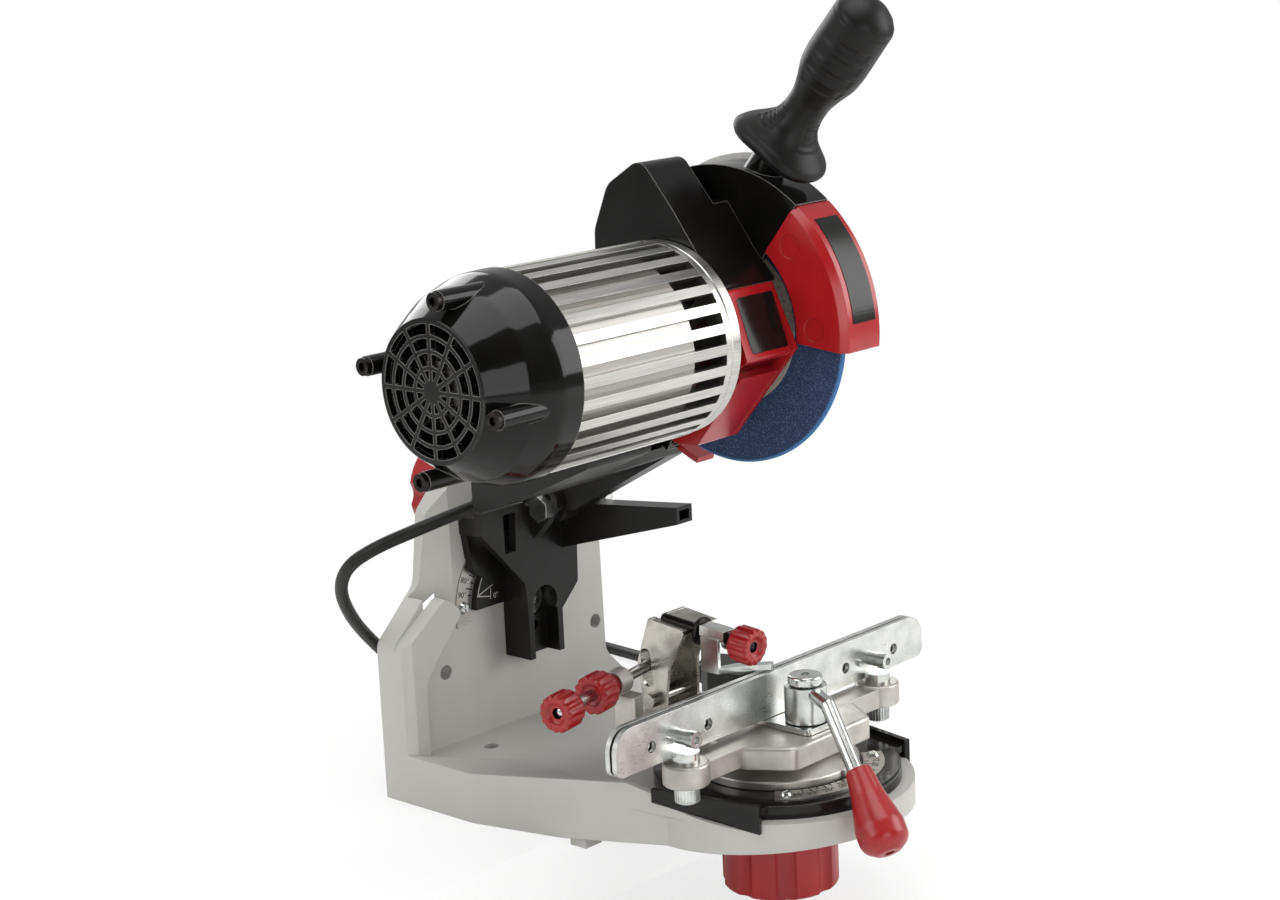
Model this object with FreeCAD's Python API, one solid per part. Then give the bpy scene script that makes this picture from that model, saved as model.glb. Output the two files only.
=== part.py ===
import FreeCAD, Part
import math
import os

# Electric chainsaw sharpener, in millimetres. The origin lies midway between the two bench-bolt holes on the
# bench. +X is to the operator's right, +Y away from the operator, +Z up. The grinding wheel's middle plane and
# the vise's turning axis lie at x = 0. Angles round the spindle are counted from straight ahead (-Y) upward.

V = FreeCAD.Vector
X, Y, Z = V(1, 0, 0), V(0, 1, 0), V(0, 0, 1)

# Clearances
gap = 0.3
running = 0.05

# Base casting
bench_hole_spacing = 96.0
bench_hole_d = 8.6
wall_hole_spacing = 120.0
wall_hole_d = 8.5
wall_hole_z = 64.5
base_left = 96.6
base_right = 90.0
base_back_y = 34.0
base_kink_y = -34.0
waist_half = 75.0
waist_y = -127.0
nose_r = 71.5
floor_z = 22.5
base_wall = 5.0
rim_kink_z = 27.7
rim_waist_z = 36.0
rim_top = 3.0
ramp_inner = 51.0
under_rise_y = -88.0
under_rise = 11.0
nose_top_z = 26.0
column_front_y = 20.0
column_top_z = 170.0
column_half = 66.0
shoulder_z = 88.0
rim_front_y = 10.0
rim_w = 13.0

# Tilt of the grinding head: axis along Y
tilt_z = 94.0
tilt_bolt_d = 12.0
lock_r = 62.0
lock_bolt_d = 8.0
lock_slot_start = -8.0
tilt_travel = 30.0
bracket_plate_t = 5.0
bracket_half = 13.5
bracket_bottom_z = 63.0
sector_r = 38.5
scale_w = 11.0
stop_arm_x0 = 15.4
stop_arm_w = 12.6
stop_arm_reach = 88.0
lock_knob_r = 30.0

# Hinge of the grinding head: axis along X
hinge_y = -10.0
hinge_z = 151.0
hinge_bolt_d = 8.0
hinge_boss_r = 9.5
hinge_lug_w = 6.3
hinge_hex = 13.0
hinge_head_h = 5.7
spring_room = 8.2
spring_wire = 0.9
spring_r = 7.2
spring_turns = 3
foot_w = 14.4
stroke_travel = 36.0

# Spindle, wheel and motor: axis along X
spindle_y = -146.0
spindle_z = 265.0
wheel_r = 72.5
wheel_t = 3.2
wheel_bore = 22.3
flange_r = 21.0
label_r = 42.0
motor_r = 49.2
fin_depth = 4.8
fin_count = 30
fin_w = 5.0
motor_bore_r = 41.4
motor_x0 = -162.0
motor_x1 = -58.5
motor_ring_w = 3.5
vent_len = 18.0
cap_x = -208.8
cap_wall = 3.0
grille_r = 32.6
shaft_r = 7.0
bearing_r = 14.0
bearing_w = 10.0
bell_x1 = -50.0

# Guard
guard_room = 6.5
guard_wall = 2.0
guard_r = wheel_r + guard_room + guard_wall
guard_x0 = -9.0
guard_x1 = 16.0
guard_seam = 51.0
guard_end = 240.0
cover_low = -6.0
spark_reach = 10.0
side_plate_over = 3.0
side_plate_r = guard_r + side_plate_over
side_plate_t = 3.0
side_plate_step = 66.0
guard_screw_angles = (76.5, 131.5, 186.5)

# Lamp housing
lamp_top_z = 290.0
lamp_back_y = -157.0

# Handle
handle_lean = 41.2
handle_x = 3.0
handle_foot_y = -175.7
handle_foot_z = 351.9
handle_len = 97.0

# Vise
vise_y = -165.5
plate_r = 65.0
plate_t = 7.0
swivel_bolt_d = 12.0
disc_r = 43.0
arm_top_z = 58.0
jaw_len = 249.0
jaw_h = 24.0
jaw_t = 2.8
jaw_bottom_z = 60.5
jaw_front_y = -168.5
chain_gap = 1.6
jaw_hole_d = 6.0
post_x = 78.3
post_y = -172.0
post_r = 5.0
boss_r = 12.0
nut_r = 6.5
hub_y = -186.0
hub_r = 11.0
hub_pin_d = 8.0
lever_rod_r = 4.0
lever_plane = 22.0
vise_knob_r = 30.7
vise_knob_h = 43.0
jaw_travel = 3.0

# Chain stop, on the vise
stop_rod_r = 3.0
stop_knob_r = 10.0
stop_web_t = 2.0

# Cord: the routes run from the strain relief down behind the column to the coil, and on to the plug
cord_r = 3.5
coil_x = 48.0
coil_y = 94.0
coil_mid_r = 41.0
coil_w = 16.0
coil_h = 22.0
cord_head = [(-85, -40, 173), (-105, -40, 171.4), (-124, -34, 167), (-139, -20, 159.5), (-144, -2, 148), (-137, 14, 131),
             (-127, 22, 120)]
cord_drop = [(-127, 22, 120), (-117, 30, 109), (-93, 45, 89), (-68, 57, 69), (-41, 60, 47), (-14, 56, 26), (16, 53, 9),
             (45, 53, 5)]
cord_tail = [(89, 92, 5), (88.5, 112, 4), (90.5, 134, 4), (105, 154.5, 4), (130, 162, 4), (155, 154, 4), (170, 133, 4),
             (168, 104, 4), (161, 74, 6), (152.5, 47, 10), (142.7, 21.2, 14)]


def point(plane, u, v, w):
    """Point at drawing coordinates (u, v) on a plane, w above it."""
    if plane == "xy":
        return V(u, v, w)
    if plane == "xz":
        return V(u, w, v)
    return V(w, u, v)


def outline(points, plane, w):
    """Closed wire through (u, v) or (u, v, corner radius) points."""
    corners = [V(p[0], p[1], 0) for p in points]
    radii = [p[2] if len(p) > 2 else 0 for p in points]
    ends = []
    for i, here in enumerate(corners):
        before = corners[i - 1] - here
        after = corners[(i + 1) % len(corners)] - here
        room = 0.49 * min(before.Length, after.Length)
        a = V(before).normalize()
        b = V(after).normalize()
        half = 0.5 * math.acos(max(-1, min(1, a.dot(b))))
        if radii[i] <= 0 or half > 1.565:
            ends.append((here, None, here))
            continue
        reach = min(radii[i] / math.tan(half), room)
        radius = reach * math.tan(half)
        middle = (a + b).normalize()
        top = here + middle * (radius / math.sin(half) - radius)
        ends.append((here + a * reach, top, here + b * reach))
    edges = []
    for i, (start, top, end) in enumerate(ends):
        following = ends[(i + 1) % len(ends)][0]
        if top is not None:
            arc = [point(plane, p.x, p.y, w) for p in (start, top, end)]
            edges.append(Part.Arc(*arc).toShape())
        if (following - end).Length > 1e-6:
            edges.append(Part.makeLine(point(plane, end.x, end.y, w), point(plane, following.x, following.y, w)))
    return Part.Wire(edges)


def prism(points, plane, low, high):
    """Straight prism of an outline, from low to high across the plane."""
    along = {"xy": Z, "xz": Y, "yz": X}[plane]
    return Part.Face(outline(points, plane, low)).extrude(along * (high - low))


def box(x0, x1, y0, y1, z0, z1):
    return Part.makeBox(x1 - x0, y1 - y0, z1 - z0, V(x0, y0, z0))


def rod(radius, start, end):
    return Part.makeCylinder(radius, (end - start).Length, start, end - start)


def ring(outer, inner, start, end):
    return rod(outer, start, end).cut(rod(inner, start, end))


def hexagon(across_flats, start, end):
    """Hexagonal bar from start to end."""
    r = across_flats / math.sqrt(3)
    points = [(r * math.cos(math.radians(60 * k)), r * math.sin(math.radians(60 * k))) for k in range(6)]
    return aimed(prism(points, "xy", 0, (end - start).Length), start, end - start)


def aimed(shape, at, direction):
    """Shape drawn about the Z axis, moved so that its origin is at `at` and Z looks along direction."""
    result = shape.copy()
    result.Placement = FreeCAD.Placement(at, FreeCAD.Rotation(Z, direction)).multiply(result.Placement)
    return result


def turned(profile, at, direction):
    """Solid of revolution of an (r, h) or (r, h, corner radius) profile round an axis."""
    face = Part.Face(outline(profile, "xz", 0))
    return aimed(face.revolve(V(0, 0, 0), Z, 360), at, direction)


def spun(shape, at, axis, angle):
    result = shape.copy()
    result.rotate(at, axis, angle)
    return result


def around(shape, at, axis, count, sweep=360.0):
    """Copies of a shape set evenly round an axis."""
    return [spun(shape, at, axis, sweep * k / count) for k in range(count)]


def fused(*shapes):
    return shapes[0].multiFuse(list(shapes[1:])).removeSplitter()


def cut(shape, *tools):
    return shape.cut(list(tools))


def eased(shape, radius, chosen):
    """Rounds the edges whose middle point passes a test."""
    edges = [e for e in shape.Edges if chosen(e.valueAt(0.5 * (e.FirstParameter + e.LastParameter)))]
    return shape.makeFillet(radius, edges)


def lobed(radius, height, lobes, groove_r, neck_r, neck_h):
    """Grip knob about Z from z = 0, rim rounded and fluted, with a neck below it."""
    edge = min(2.5, 0.2 * height)
    body = turned([(0, 0), (radius, 0, edge), (radius, height, edge), (0, height)], V(0, 0, 0), Z)
    flute = rod(groove_r, V(radius + 0.55 * groove_r, 0, -1), V(radius + 0.55 * groove_r, 0, height + 1))
    body = cut(body, *around(flute, V(0, 0, 0), Z, lobes))
    return fused(body, rod(neck_r, V(0, 0, -neck_h), V(0, 0, edge)))


def polar(angle, radius, x=0.0):
    """Point round the spindle, counted from straight ahead upward."""
    a = math.radians(angle)
    return V(x, spindle_y - radius * math.cos(a), spindle_z + radius * math.sin(a))


def sector(inner, outer, start, end, x0, x1):
    """Part of a ring round the spindle, between two angles."""
    face = Part.makePlane(outer - inner, x1 - x0, V(x0, spindle_y - inner, spindle_z), V(0, 0, 1), V(0, -1, 0))
    if abs(face.BoundBox.XMin - x0) > 1e-6:
        face.translate(V(x0 - face.BoundBox.XMin, 0, 0))
    solid = face.revolve(V(0, spindle_y, spindle_z), V(-1, 0, 0), end - start)
    return spun(solid, V(0, spindle_y, spindle_z), V(-1, 0, 0), start)


def axis_rod(radius, x0, x1):
    return rod(radius, V(x0, spindle_y, spindle_z), V(x1, spindle_y, spindle_z))


def axis_ring(outer, inner, x0, x1):
    return ring(outer, inner, V(x0, spindle_y, spindle_z), V(x1, spindle_y, spindle_z))


def axis_turned(profile, x0):
    return turned(profile, V(x0, spindle_y, spindle_z), X)


tilt_at = V(0, 0, tilt_z)
hinge_at = V(0, hinge_y, hinge_z)
switch_at = V(-31, -100, 292)
nose_at = V(0, vise_y, 0)
plate_top_z = nose_top_z + plate_t


# ---------------------------------------------------------------- base
def side_ramp(side, half_back, rim_z):
    """Side wall of the tray on one side, rising from the column to the waist."""
    def section(y, inner, outer, top):
        points = [(side * inner, floor_z), (side * (outer - rim_top), top), (side * outer, top), (side * outer, floor_z)]
        return Part.makePolygon([V(u, y, v) for u, v in points + points[:1]])
    kink = section(base_kink_y, ramp_inner, half_back, rim_z)
    waist = section(waist_y, waist_half - 4 * rim_top, waist_half, rim_waist_z)
    end = section(vise_y, nose_r - 2 * rim_top, nose_r - 0.2, nose_top_z + rim_top)
    back = section(column_front_y + rim_top, half_back - rim_w - gap, half_back, rim_z)
    return [Part.makeLoft([a, b], True, True) for a, b in ((back, kink), (kink, waist), (waist, end))]


def tray_plan(inset, plane_z, height):
    """Tray seen from above: rear part, taper to the waist and the round nose."""
    points = [(-base_left + inset, base_back_y - inset), (-base_left + inset, base_kink_y, 20),
              (-waist_half + inset, waist_y, 30), (-nose_r + 14 + inset, vise_y - 38),
              (nose_r - 14 - inset, vise_y - 38), (waist_half - inset, waist_y, 30),
              (base_right - inset, base_kink_y, 20), (base_right - inset, base_back_y - inset)]
    body = prism(points, "xy", plane_z, plane_z + height)
    nose = rod(nose_r - inset, V(0, vise_y, plane_z), V(0, vise_y, plane_z + height))
    return body.fuse(nose)


def column():
    """Upright wall that carries the tilting head, with the tall rim on the left."""
    left = -column_half
    face = [(-base_left, 0), (-base_left, shoulder_z, 8), (left - 2, shoulder_z + 27, 12),
            (left + 3.5, column_top_z - 15, 6), (left + 18, column_top_z, 8), (column_half - 8, column_top_z, 8),
            (column_half, column_top_z - 20, 8), (column_half + 2, floor_z + 22, 12), (base_right, floor_z, 4),
            (base_right, 0)]
    wall = prism(face, "xz", column_front_y, base_back_y)
    rim = [(-base_left, 0), (-base_left, shoulder_z, 8), (left, shoulder_z + 22, 4), (left + 12, shoulder_z + 12, 4),
           (-base_left + rim_w, shoulder_z - 22, 6), (-base_left + rim_w, 0)]
    wall = fused(wall, prism(rim, "xz", rim_front_y, column_front_y))
    facet = prism([(-base_left - 1, rim_front_y - 1), (-base_left + 5, rim_front_y - 1), (-base_left - 1, rim_front_y + 6)],
                  "xy", floor_z, column_top_z)
    upper = prism([(left - 8, column_front_y - 1), (left + 17, column_front_y - 1), (left - 8, base_back_y - 2)],
                  "xy", shoulder_z + 14, column_top_z + 1)
    return cut(wall, facet, upper)


def column_pockets():
    """Hollows behind the column between its ribs; a full-thickness pad stays round the tilt axis."""
    y0 = column_front_y + base_wall
    y1 = base_back_y + 1
    outer = prism([(-base_left + base_wall, -1), (-base_left + base_wall, shoulder_z - 4), (-column_half + 6, shoulder_z + 22),
                   (-column_half + 10, column_top_z - 22), (-column_half + 22, column_top_z - base_wall - 2),
                   (column_half - 16, column_top_z - base_wall - 2), (column_half - base_wall, column_top_z - 24),
                   (column_half - base_wall, floor_z + 30), (base_right - base_wall, floor_z - base_wall),
                   (base_right - base_wall, -1)], "xz", y0, y1)
    pad = rod(26, V(0, 0, tilt_z), V(0, 60, tilt_z))
    top_pad = prism([(-30, tilt_z), (-30, column_top_z), (48, column_top_z), (48, tilt_z + 20), (20, tilt_z)], "xz", 0, 60)
    ribs = [box(-2.5, 2.5, 0, 60, -1, tilt_z), box(-wall_hole_spacing / 2 - 9, -wall_hole_spacing / 2 + 9, 0, 60,
            wall_hole_z - 9, wall_hole_z + 9), box(wall_hole_spacing / 2 - 9, wall_hole_spacing / 2 + 4, 0, 60,
            wall_hole_z - 9, wall_hole_z + 9), box(-base_left, base_right, 0, 60, wall_hole_z - 2.5, wall_hole_z + 2.5)]
    return cut(outer, pad, top_pad, *ribs)


def lock_slot(radius, y0, y1):
    """Curved slot for the lock bolt, round the tilt axis."""
    start = lock_slot_start
    steps = [start + tilt_travel * k / 2 for k in range(3)]
    centres = [V(lock_r * math.sin(math.radians(a)), y0, tilt_z + lock_r * math.cos(math.radians(a))) for a in steps]
    depth = V(0, y1 - y0, 0)
    ends = [rod(radius, centres[0], centres[0] + depth), rod(radius, centres[2], centres[2] + depth)]
    spread = math.radians(tilt_travel)
    face = Part.makePlane(2 * radius, y1 - y0, V(-lock_r - radius, y0, tilt_z), V(0, 0, 1), V(1, 0, 0))
    face.translate(V(-lock_r - radius - face.BoundBox.XMin, y0 - face.BoundBox.YMin, 0))
    arc = face.revolve(tilt_at, Y, math.degrees(spread))
    arc = spun(arc, tilt_at, Y, 90 + start)
    return fused(arc, *ends)


def base_casting():
    body = tray_plan(0, 0, floor_z)
    ramps = side_ramp(-1, base_left, rim_kink_z) + side_ramp(1, base_right, floor_z + 1.0)
    nose = rod(nose_r, V(0, vise_y, floor_z - 1), V(0, vise_y, nose_top_z))
    body = fused(body, column(), nose, *ramps)
    sunk = rod(plate_r + 0.6, V(0, vise_y, nose_top_z), V(0, vise_y, nose_top_z + 40))
    slope = under_rise / (under_rise_y - vise_y + 47.5)
    drop = slope * (under_rise_y - vise_y + 90)
    wedge = prism([(under_rise_y, 0), (vise_y - 90, drop), (vise_y - 90, -5), (under_rise_y, -5)], "yz", -120, 120)
    hollow = tray_plan(base_wall, -1, floor_z - base_wall + 1)
    swivel = rod(swivel_bolt_d / 2 + gap, V(0, vise_y, -1), V(0, vise_y, nose_top_z + 1))
    boss = rod(24, V(0, vise_y, under_rise), V(0, vise_y, nose_top_z))
    ribs = [box(-2.5, 2.5, vise_y + 20, column_front_y, 1, floor_z - 1), box(-90, 85, -72.5, -67.5, 1, floor_z - 1)]
    sides = [box(s * bench_hole_spacing / 2 - 11, s * bench_hole_spacing / 2 + 11, -11, 11, 0, floor_z - 1) for s in (-1, 1)]
    lugs = [box(s * waist_half - 6, s * waist_half + 6, under_rise_y - 11, under_rise_y, -5.5, floor_z - 2)
            for s in (-0.96, 0.96)]
    knob_room = rod(vise_knob_r, V(0, vise_y, -1), V(0, vise_y, under_rise))
    body = cut(body, sunk, column_pockets(), cut(hollow, boss, *ribs, *sides), wedge, knob_room, *cheek_space(20))
    body = fused(body, *lugs)
    holes = [rod(bench_hole_d / 2, V(s * bench_hole_spacing / 2, 0, -10), V(s * bench_hole_spacing / 2, 0, floor_z + 20))
             for s in (-1, 1)]
    holes += [rod(wall_hole_d / 2, V(s * wall_hole_spacing / 2, 0, wall_hole_z), V(s * wall_hole_spacing / 2, 60, wall_hole_z))
              for s in (-1, 1)]
    pivot = rod(tilt_bolt_d / 2 + running, V(0, 0, tilt_z), V(0, 60, tilt_z))
    slot = lock_slot(lock_bolt_d / 2 + gap, column_front_y - 1, base_back_y + 1)
    return cut(body, swivel, pivot, slot, *holes)


def tilt_scale_plate():
    """Graduated aluminium arc on the column, round the tilt axis."""
    y0, y1 = column_front_y - 0.8, column_front_y
    full = cut(rod(sector_r + 1 + scale_w, V(0, y0, tilt_z), V(0, y1, tilt_z)), rod(sector_r + 1, V(0, y0, tilt_z), V(0, y1, tilt_z)))
    reach = 2 * (sector_r + scale_w)
    low, high = math.radians(-8), math.radians(46)
    wedge = prism([(0, tilt_z), (-reach * math.cos(low), tilt_z + reach * math.sin(low)),
                   (-reach, tilt_z + reach * math.sin(high)), (-reach * math.cos(high), tilt_z + reach * math.sin(high))],
                  "xz", y0 - 1, y1 + 1)
    return full.common(wedge)


def tilt_scale_screw():
    angle = math.radians(5)
    r = sector_r + 1 + scale_w / 2
    at = V(-r * math.cos(angle), column_front_y - 0.8, tilt_z + r * math.sin(angle))
    head = turned([(0, 0), (3.6, 0), (2.4, 1.8), (0, 1.8)], at, V(0, -1, 0))
    return cut(head, box(at.x - 3, at.x + 3, at.y - 3, at.y - 1.2, at.z - 0.4, at.z + 0.4),
               box(at.x - 0.4, at.x + 0.4, at.y - 3, at.y - 1.2, at.z - 3, at.z + 3))


# ---------------------------------------------------------------- tilting bracket
def tilt_bracket():
    """Black bracket that turns on the column: plate, channel, pointer sector, hinge lugs and stop arm."""
    rear = column_front_y - gap
    half = bracket_half
    plate = prism([(-45, 154), (-46, 141.5, 3), (-15, 108, 2), (-half, 96), (half, 87, 2), (27, 100, 2), (27.8, 121, 2),
                   (27.8, 150), (stop_arm_x0, 150), (stop_arm_x0, 138), (-6.3, 138), (-6.3, 154)], "xz", 0, bracket_plate_t)
    slot = prism([(-28.9, 128), (-28.9, 150, 1), (-19.7, 150, 1), (-20.5, 128)], "xz", -1, bracket_plate_t + 1)
    flanges = [box(s * half - 2, s * half + 2, 0, rear, bracket_bottom_z, 136) for s in (-0.855, 0.855)]
    web = box(-half + 2, half - 2, 9.5, 14, bracket_bottom_z, 132)
    rear_face = prism([(-45, 150, 4), (-40, 118, 6), (-half, 100), (-half, 76, 2), (half, 76, 2), (26, 108, 4), (26, 150, 4)],
                      "xz", rear - 5, rear)
    tie = [box(-44, -38, bracket_plate_t - 1, rear, 140, 150), box(20, 26, bracket_plate_t - 1, rear, 112, 150)]
    pie = cut(rod(sector_r, V(0, rear - 4, tilt_z), V(0, rear, tilt_z)),
              box(-60, 60, 0, 30, tilt_z - 60, tilt_z + 1.5), box(-8, 60, 0, 30, tilt_z - 60, tilt_z + 60))
    lugs = [prism([(hinge_y - hinge_boss_r, hinge_z, 5), (hinge_y - hinge_boss_r, hinge_z + hinge_boss_r, 7),
                   (bracket_plate_t, hinge_z + hinge_boss_r, 5), (bracket_plate_t, 132), (0, 132)], "yz", a, b)
            for a, b in ((-hinge_lug_w, 0), (foot_w + 2 * gap, stop_arm_x0 + stop_arm_w))]
    arm_x1 = stop_arm_x0 + stop_arm_w
    arm = prism([(0, 122), (-stop_arm_reach, 147), (-stop_arm_reach, 156.5), (-30, 151), (bracket_plate_t, 150), (bracket_plate_t, 122)],
                "yz", stop_arm_x0, arm_x1)
    arm_hollow = box(stop_arm_x0 + 2.4, arm_x1 - 2.4, -stop_arm_reach - 1, -stop_arm_reach + 16, 149, 154.3)
    body = fused(plate, web, rear_face, pie, arm, *flanges, *tie, *lugs)
    groove = ring(sector_r + scale_w + 2, sector_r + 0.5, V(0, rear - 1, tilt_z), V(0, rear + 1, tilt_z))
    keyhole = fused(rod(tilt_bolt_d / 2 + 3.5, V(0, -1, tilt_z), V(0, rear - 5, tilt_z)), rod(3, V(0, 0, 79), V(0, 15, 79)))
    turn_hole = rod(tilt_bolt_d / 2 + running, V(0, 0, tilt_z), V(0, 30, tilt_z))
    lock_hole = rod(lock_bolt_d / 2 + running, lock_centre(bracket_plate_t - 20), lock_centre(30))
    hinge_hole = rod(hinge_bolt_d / 2 + running, hinge_at - X * 40, hinge_at + X * 60)
    return cut(body, slot, groove, arm_hollow, keyhole, turn_hole, lock_hole, hinge_hole)


def lock_centre(y):
    a = math.radians(lock_slot_start)
    return V(lock_r * math.sin(a), y, tilt_z + lock_r * math.cos(a))


def tilt_pivot_bolt():
    """Bolt on the tilt axis, headed in front of the channel's web and nutted behind the column."""
    head_y = column_front_y - gap - 5
    shank = rod(tilt_bolt_d / 2, V(0, head_y - 2, tilt_z), V(0, base_back_y + 12, tilt_z))
    head = rod(tilt_bolt_d / 2 + 3, V(0, head_y - 4, tilt_z), V(0, head_y, tilt_z))
    nut = hexagon(19, V(0, base_back_y + gap, tilt_z), V(0, base_back_y + 9, tilt_z))
    return fused(shank, cut(head, hexagon(6, V(0, head_y - 5, tilt_z), V(0, head_y - 2, tilt_z))), nut)


def tilt_lock_bolt():
    """Carriage bolt that clamps the bracket through the curved slot."""
    front = column_front_y - gap - 5
    shank = rod(lock_bolt_d / 2, lock_centre(front - 1), lock_centre(base_back_y + 26))
    head = rod(lock_bolt_d / 2 + 4, lock_centre(front - 4.5), lock_centre(front))
    return fused(shank, head)


def tilt_lock_knob():
    knob = lobed(lock_knob_r, 22, 6, 9, 12, 9.5)
    knob = aimed(knob, lock_centre(base_back_y + gap + 9.5), Y)
    return cut(knob, rod(lock_bolt_d / 2 + running, lock_centre(base_back_y - 1), lock_centre(base_back_y + 26 + gap)))


# ---------------------------------------------------------------- head hinge
def hinge_bolt():
    """Hinge bolt of the head, headed on the left and with its nut outside the return spring."""
    seat = -hinge_lug_w
    nut_x = stop_arm_x0 + stop_arm_w + spring_room
    head = hexagon(hinge_hex, hinge_at + X * (seat - hinge_head_h), hinge_at + X * seat)
    nut = hexagon(hinge_hex, hinge_at + X * nut_x, hinge_at + X * (nut_x + hinge_head_h))
    shank = rod(hinge_bolt_d / 2, hinge_at + X * (seat - 1), hinge_at + X * (nut_x + hinge_head_h + 1.5))
    return fused(head, shank, nut)


def return_spring():
    """Torsion spring on the hinge bolt, between the stop arm and the nut."""
    start = stop_arm_x0 + stop_arm_w + gap + spring_wire
    pitch = (spring_room - 2 * (gap + spring_wire)) / spring_turns
    path = Part.makeHelix(pitch, pitch * spring_turns, spring_r)
    section = Part.Wire([Part.makeCircle(spring_wire, V(spring_r, 0, 0), Y)])
    coil = Part.Wire(path).makePipeShell([section], True, True)
    return aimed(coil, hinge_at + X * start, X)


# ---------------------------------------------------------------- grinding head
def head_arm():
    """Foot of the head: plate from the hinge to the guard and saddle under the motor."""
    x0, x1 = gap, gap + foot_w
    under = motor_r + 0.1
    plate = prism([(hinge_y + 2, hinge_z - hinge_boss_r, 0), (hinge_y - hinge_boss_r, hinge_z - 5, 4), (-30, 152.6, 10),
                   (-97, 189, 3), (-99, 198), (-84, 222), (-50, 226, 6), (-34, 214, 8), (hinge_y + hinge_boss_r, hinge_z, 4),
                   (hinge_y + hinge_boss_r, hinge_z - 5, 4)], "yz", x0, x1)
    boss = rod(hinge_boss_r, hinge_at + X * x0, hinge_at + X * x1)
    behind = prism([(1.5, 100), (1.5, 158), (30, 158), (30, 100)], "yz", x0 - 1, x1 + 1)
    low = prism([(0, 130), (0, hinge_z - 1), (-60, hinge_z - 1), (-60, 130)], "yz", x0 - 1, x1 + 1)
    plate = fused(cut(plate, behind, cut(low, boss)), boss)
    beam = prism([(-52, 172, 5), (-97, 189, 3), (-104, 200), (-118, 222), (-96, 236), (-52, 206, 6)], "yz", -100, x1 - 2)
    saddle = prism([(-88, 186, 3), (-104, 192, 6), (-140, 208, 4), (-140, 225), (-96, 240), (-88, 214, 4)], "yz", -105, -58.5)
    lug = aimed(prism([(-8, -7, 3), (7, -7, 3), (7, 7, 3), (-8, 7, 3)], "xy", -7, 7), depth_centre(18), depth_axis())
    bridge = box(x1 - 6, 17, -58, -46, 206, 219)
    body = fused(plate, beam, saddle, lug, bridge)
    motor = axis_rod(under, -200, bell_x1 + 0.1)
    rear = axis_rod(guard_r + 0.1, guard_x0 - 2.0, 40)
    block = box(bell_x1, guard_x0, -150, -98, 196, 260)
    threaded = rod(3 + running, depth_centre(-20), depth_centre(60))
    hinge_hole = rod(hinge_bolt_d / 2 + running, hinge_at, hinge_at + X * 30)
    return cut(body, motor, rear, block, threaded, hinge_hole)


def depth_axis():
    """Direction of the depth-stop screw, square to its radius from the hinge."""
    return V(0, -0.659, -0.752)


def depth_centre(back):
    """Point on the depth-stop screw, counted back from its tip."""
    tip = V(stop_arm_x0 + stop_arm_w / 2, -66, 200)
    return tip - depth_axis() * back


def depth_stop_screw():
    knob = aimed(lobed(9, 9, 8, 2, 5, 2), depth_centre(37), depth_axis() * -1)
    return fused(rod(3, depth_centre(0), depth_centre(38)), knob)


def foot_screws():
    """Hex screws on the left end of the motor saddle and on the foot's plate."""
    starts = [V(-105, -98, 206), V(-105, -122, 212), V(gap, -22, 170)]
    return [hexagon(8, start, start - X * 4.5) for start in starts]


def motor_housing():
    """Finned aluminium tube with vent windows at its front end and a plain front ring."""
    root = motor_r - fin_depth
    pitch = 360.0 / fin_count
    top = math.degrees(fin_w / motor_r) / 2
    foot = math.degrees((fin_w - 0.6) / root) / 2
    star = []
    for k in range(fin_count):
        for angle, r in ((-foot, root), (-top, motor_r), (top, motor_r), (foot, root)):
            a = math.radians(pitch * k + angle)
            star.append((spindle_y + r * math.cos(a), spindle_z + r * math.sin(a)))
    fins = prism(star, "yz", motor_x0, motor_x1 - motor_ring_w)
    front = axis_rod(motor_r, motor_x1 - motor_ring_w, motor_x1)
    bore = axis_rod(motor_bore_r, motor_x0 - 1, motor_x1 + 1)
    vents = axis_rod(root + 0.6, motor_x1 - motor_ring_w - vent_len, motor_x1 - motor_ring_w)
    return cut(fused(fins, front), bore, vents)


def motor_end_cap():
    """Gloss black cap with a round grille and four bolt pillars."""
    depth = motor_x0 - cap_x
    outer = [(0, 0), (grille_r + 1, 0, 1), (38, 6.8), (45, 18.8, 12), (49.8, 33.8, 20), (50.2, depth), (0, depth)]
    t = cap_wall
    inner = [(0, t), (grille_r - 2, t), (38 - t, 6.8 + t), (45 - t, 18.8 + t, 10), (49.8 - t, 33.8 + t, 18), (50.2 - t, depth - 4),
             (motor_bore_r + 2, depth - 4), (motor_bore_r + 2, depth + 1), (0, depth + 1)]
    carrier = axis_ring(bearing_r + 3, bearing_r, cap_x, cap_x + t + bearing_w)
    cavity = cut(axis_turned(inner, cap_x), carrier)
    spoke = box(cap_x - 2, cap_x + t + 1, spindle_y - 1.1, spindle_y + 1.1, spindle_z, spindle_z + grille_r)
    spokes = around(spoke, V(0, spindle_y, spindle_z), X, 12)
    slots = [cut(axis_ring(outside, inside, cap_x - 1, cap_x + t + 0.5), *spokes)
             for inside, outside in ((5.5, 10), (12, 17.6), (19.6, 24.4), (26.4, grille_r - 1.5))]
    pillars = []
    bores = []
    for k in range(4):
        at = polar(79 + 90 * k, 43)
        pillars.append(rod(4.75, V(cap_x - 1, at.y, at.z), V(motor_x0 - 8, at.y, at.z)))
        bores.append(rod(2.4, V(cap_x - 2, at.y, at.z), V(motor_x0 + 1, at.y, at.z)))
    body = fused(axis_turned(outer, cap_x), *pillars)
    return cut(body, cavity, *slots, *bores)


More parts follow.
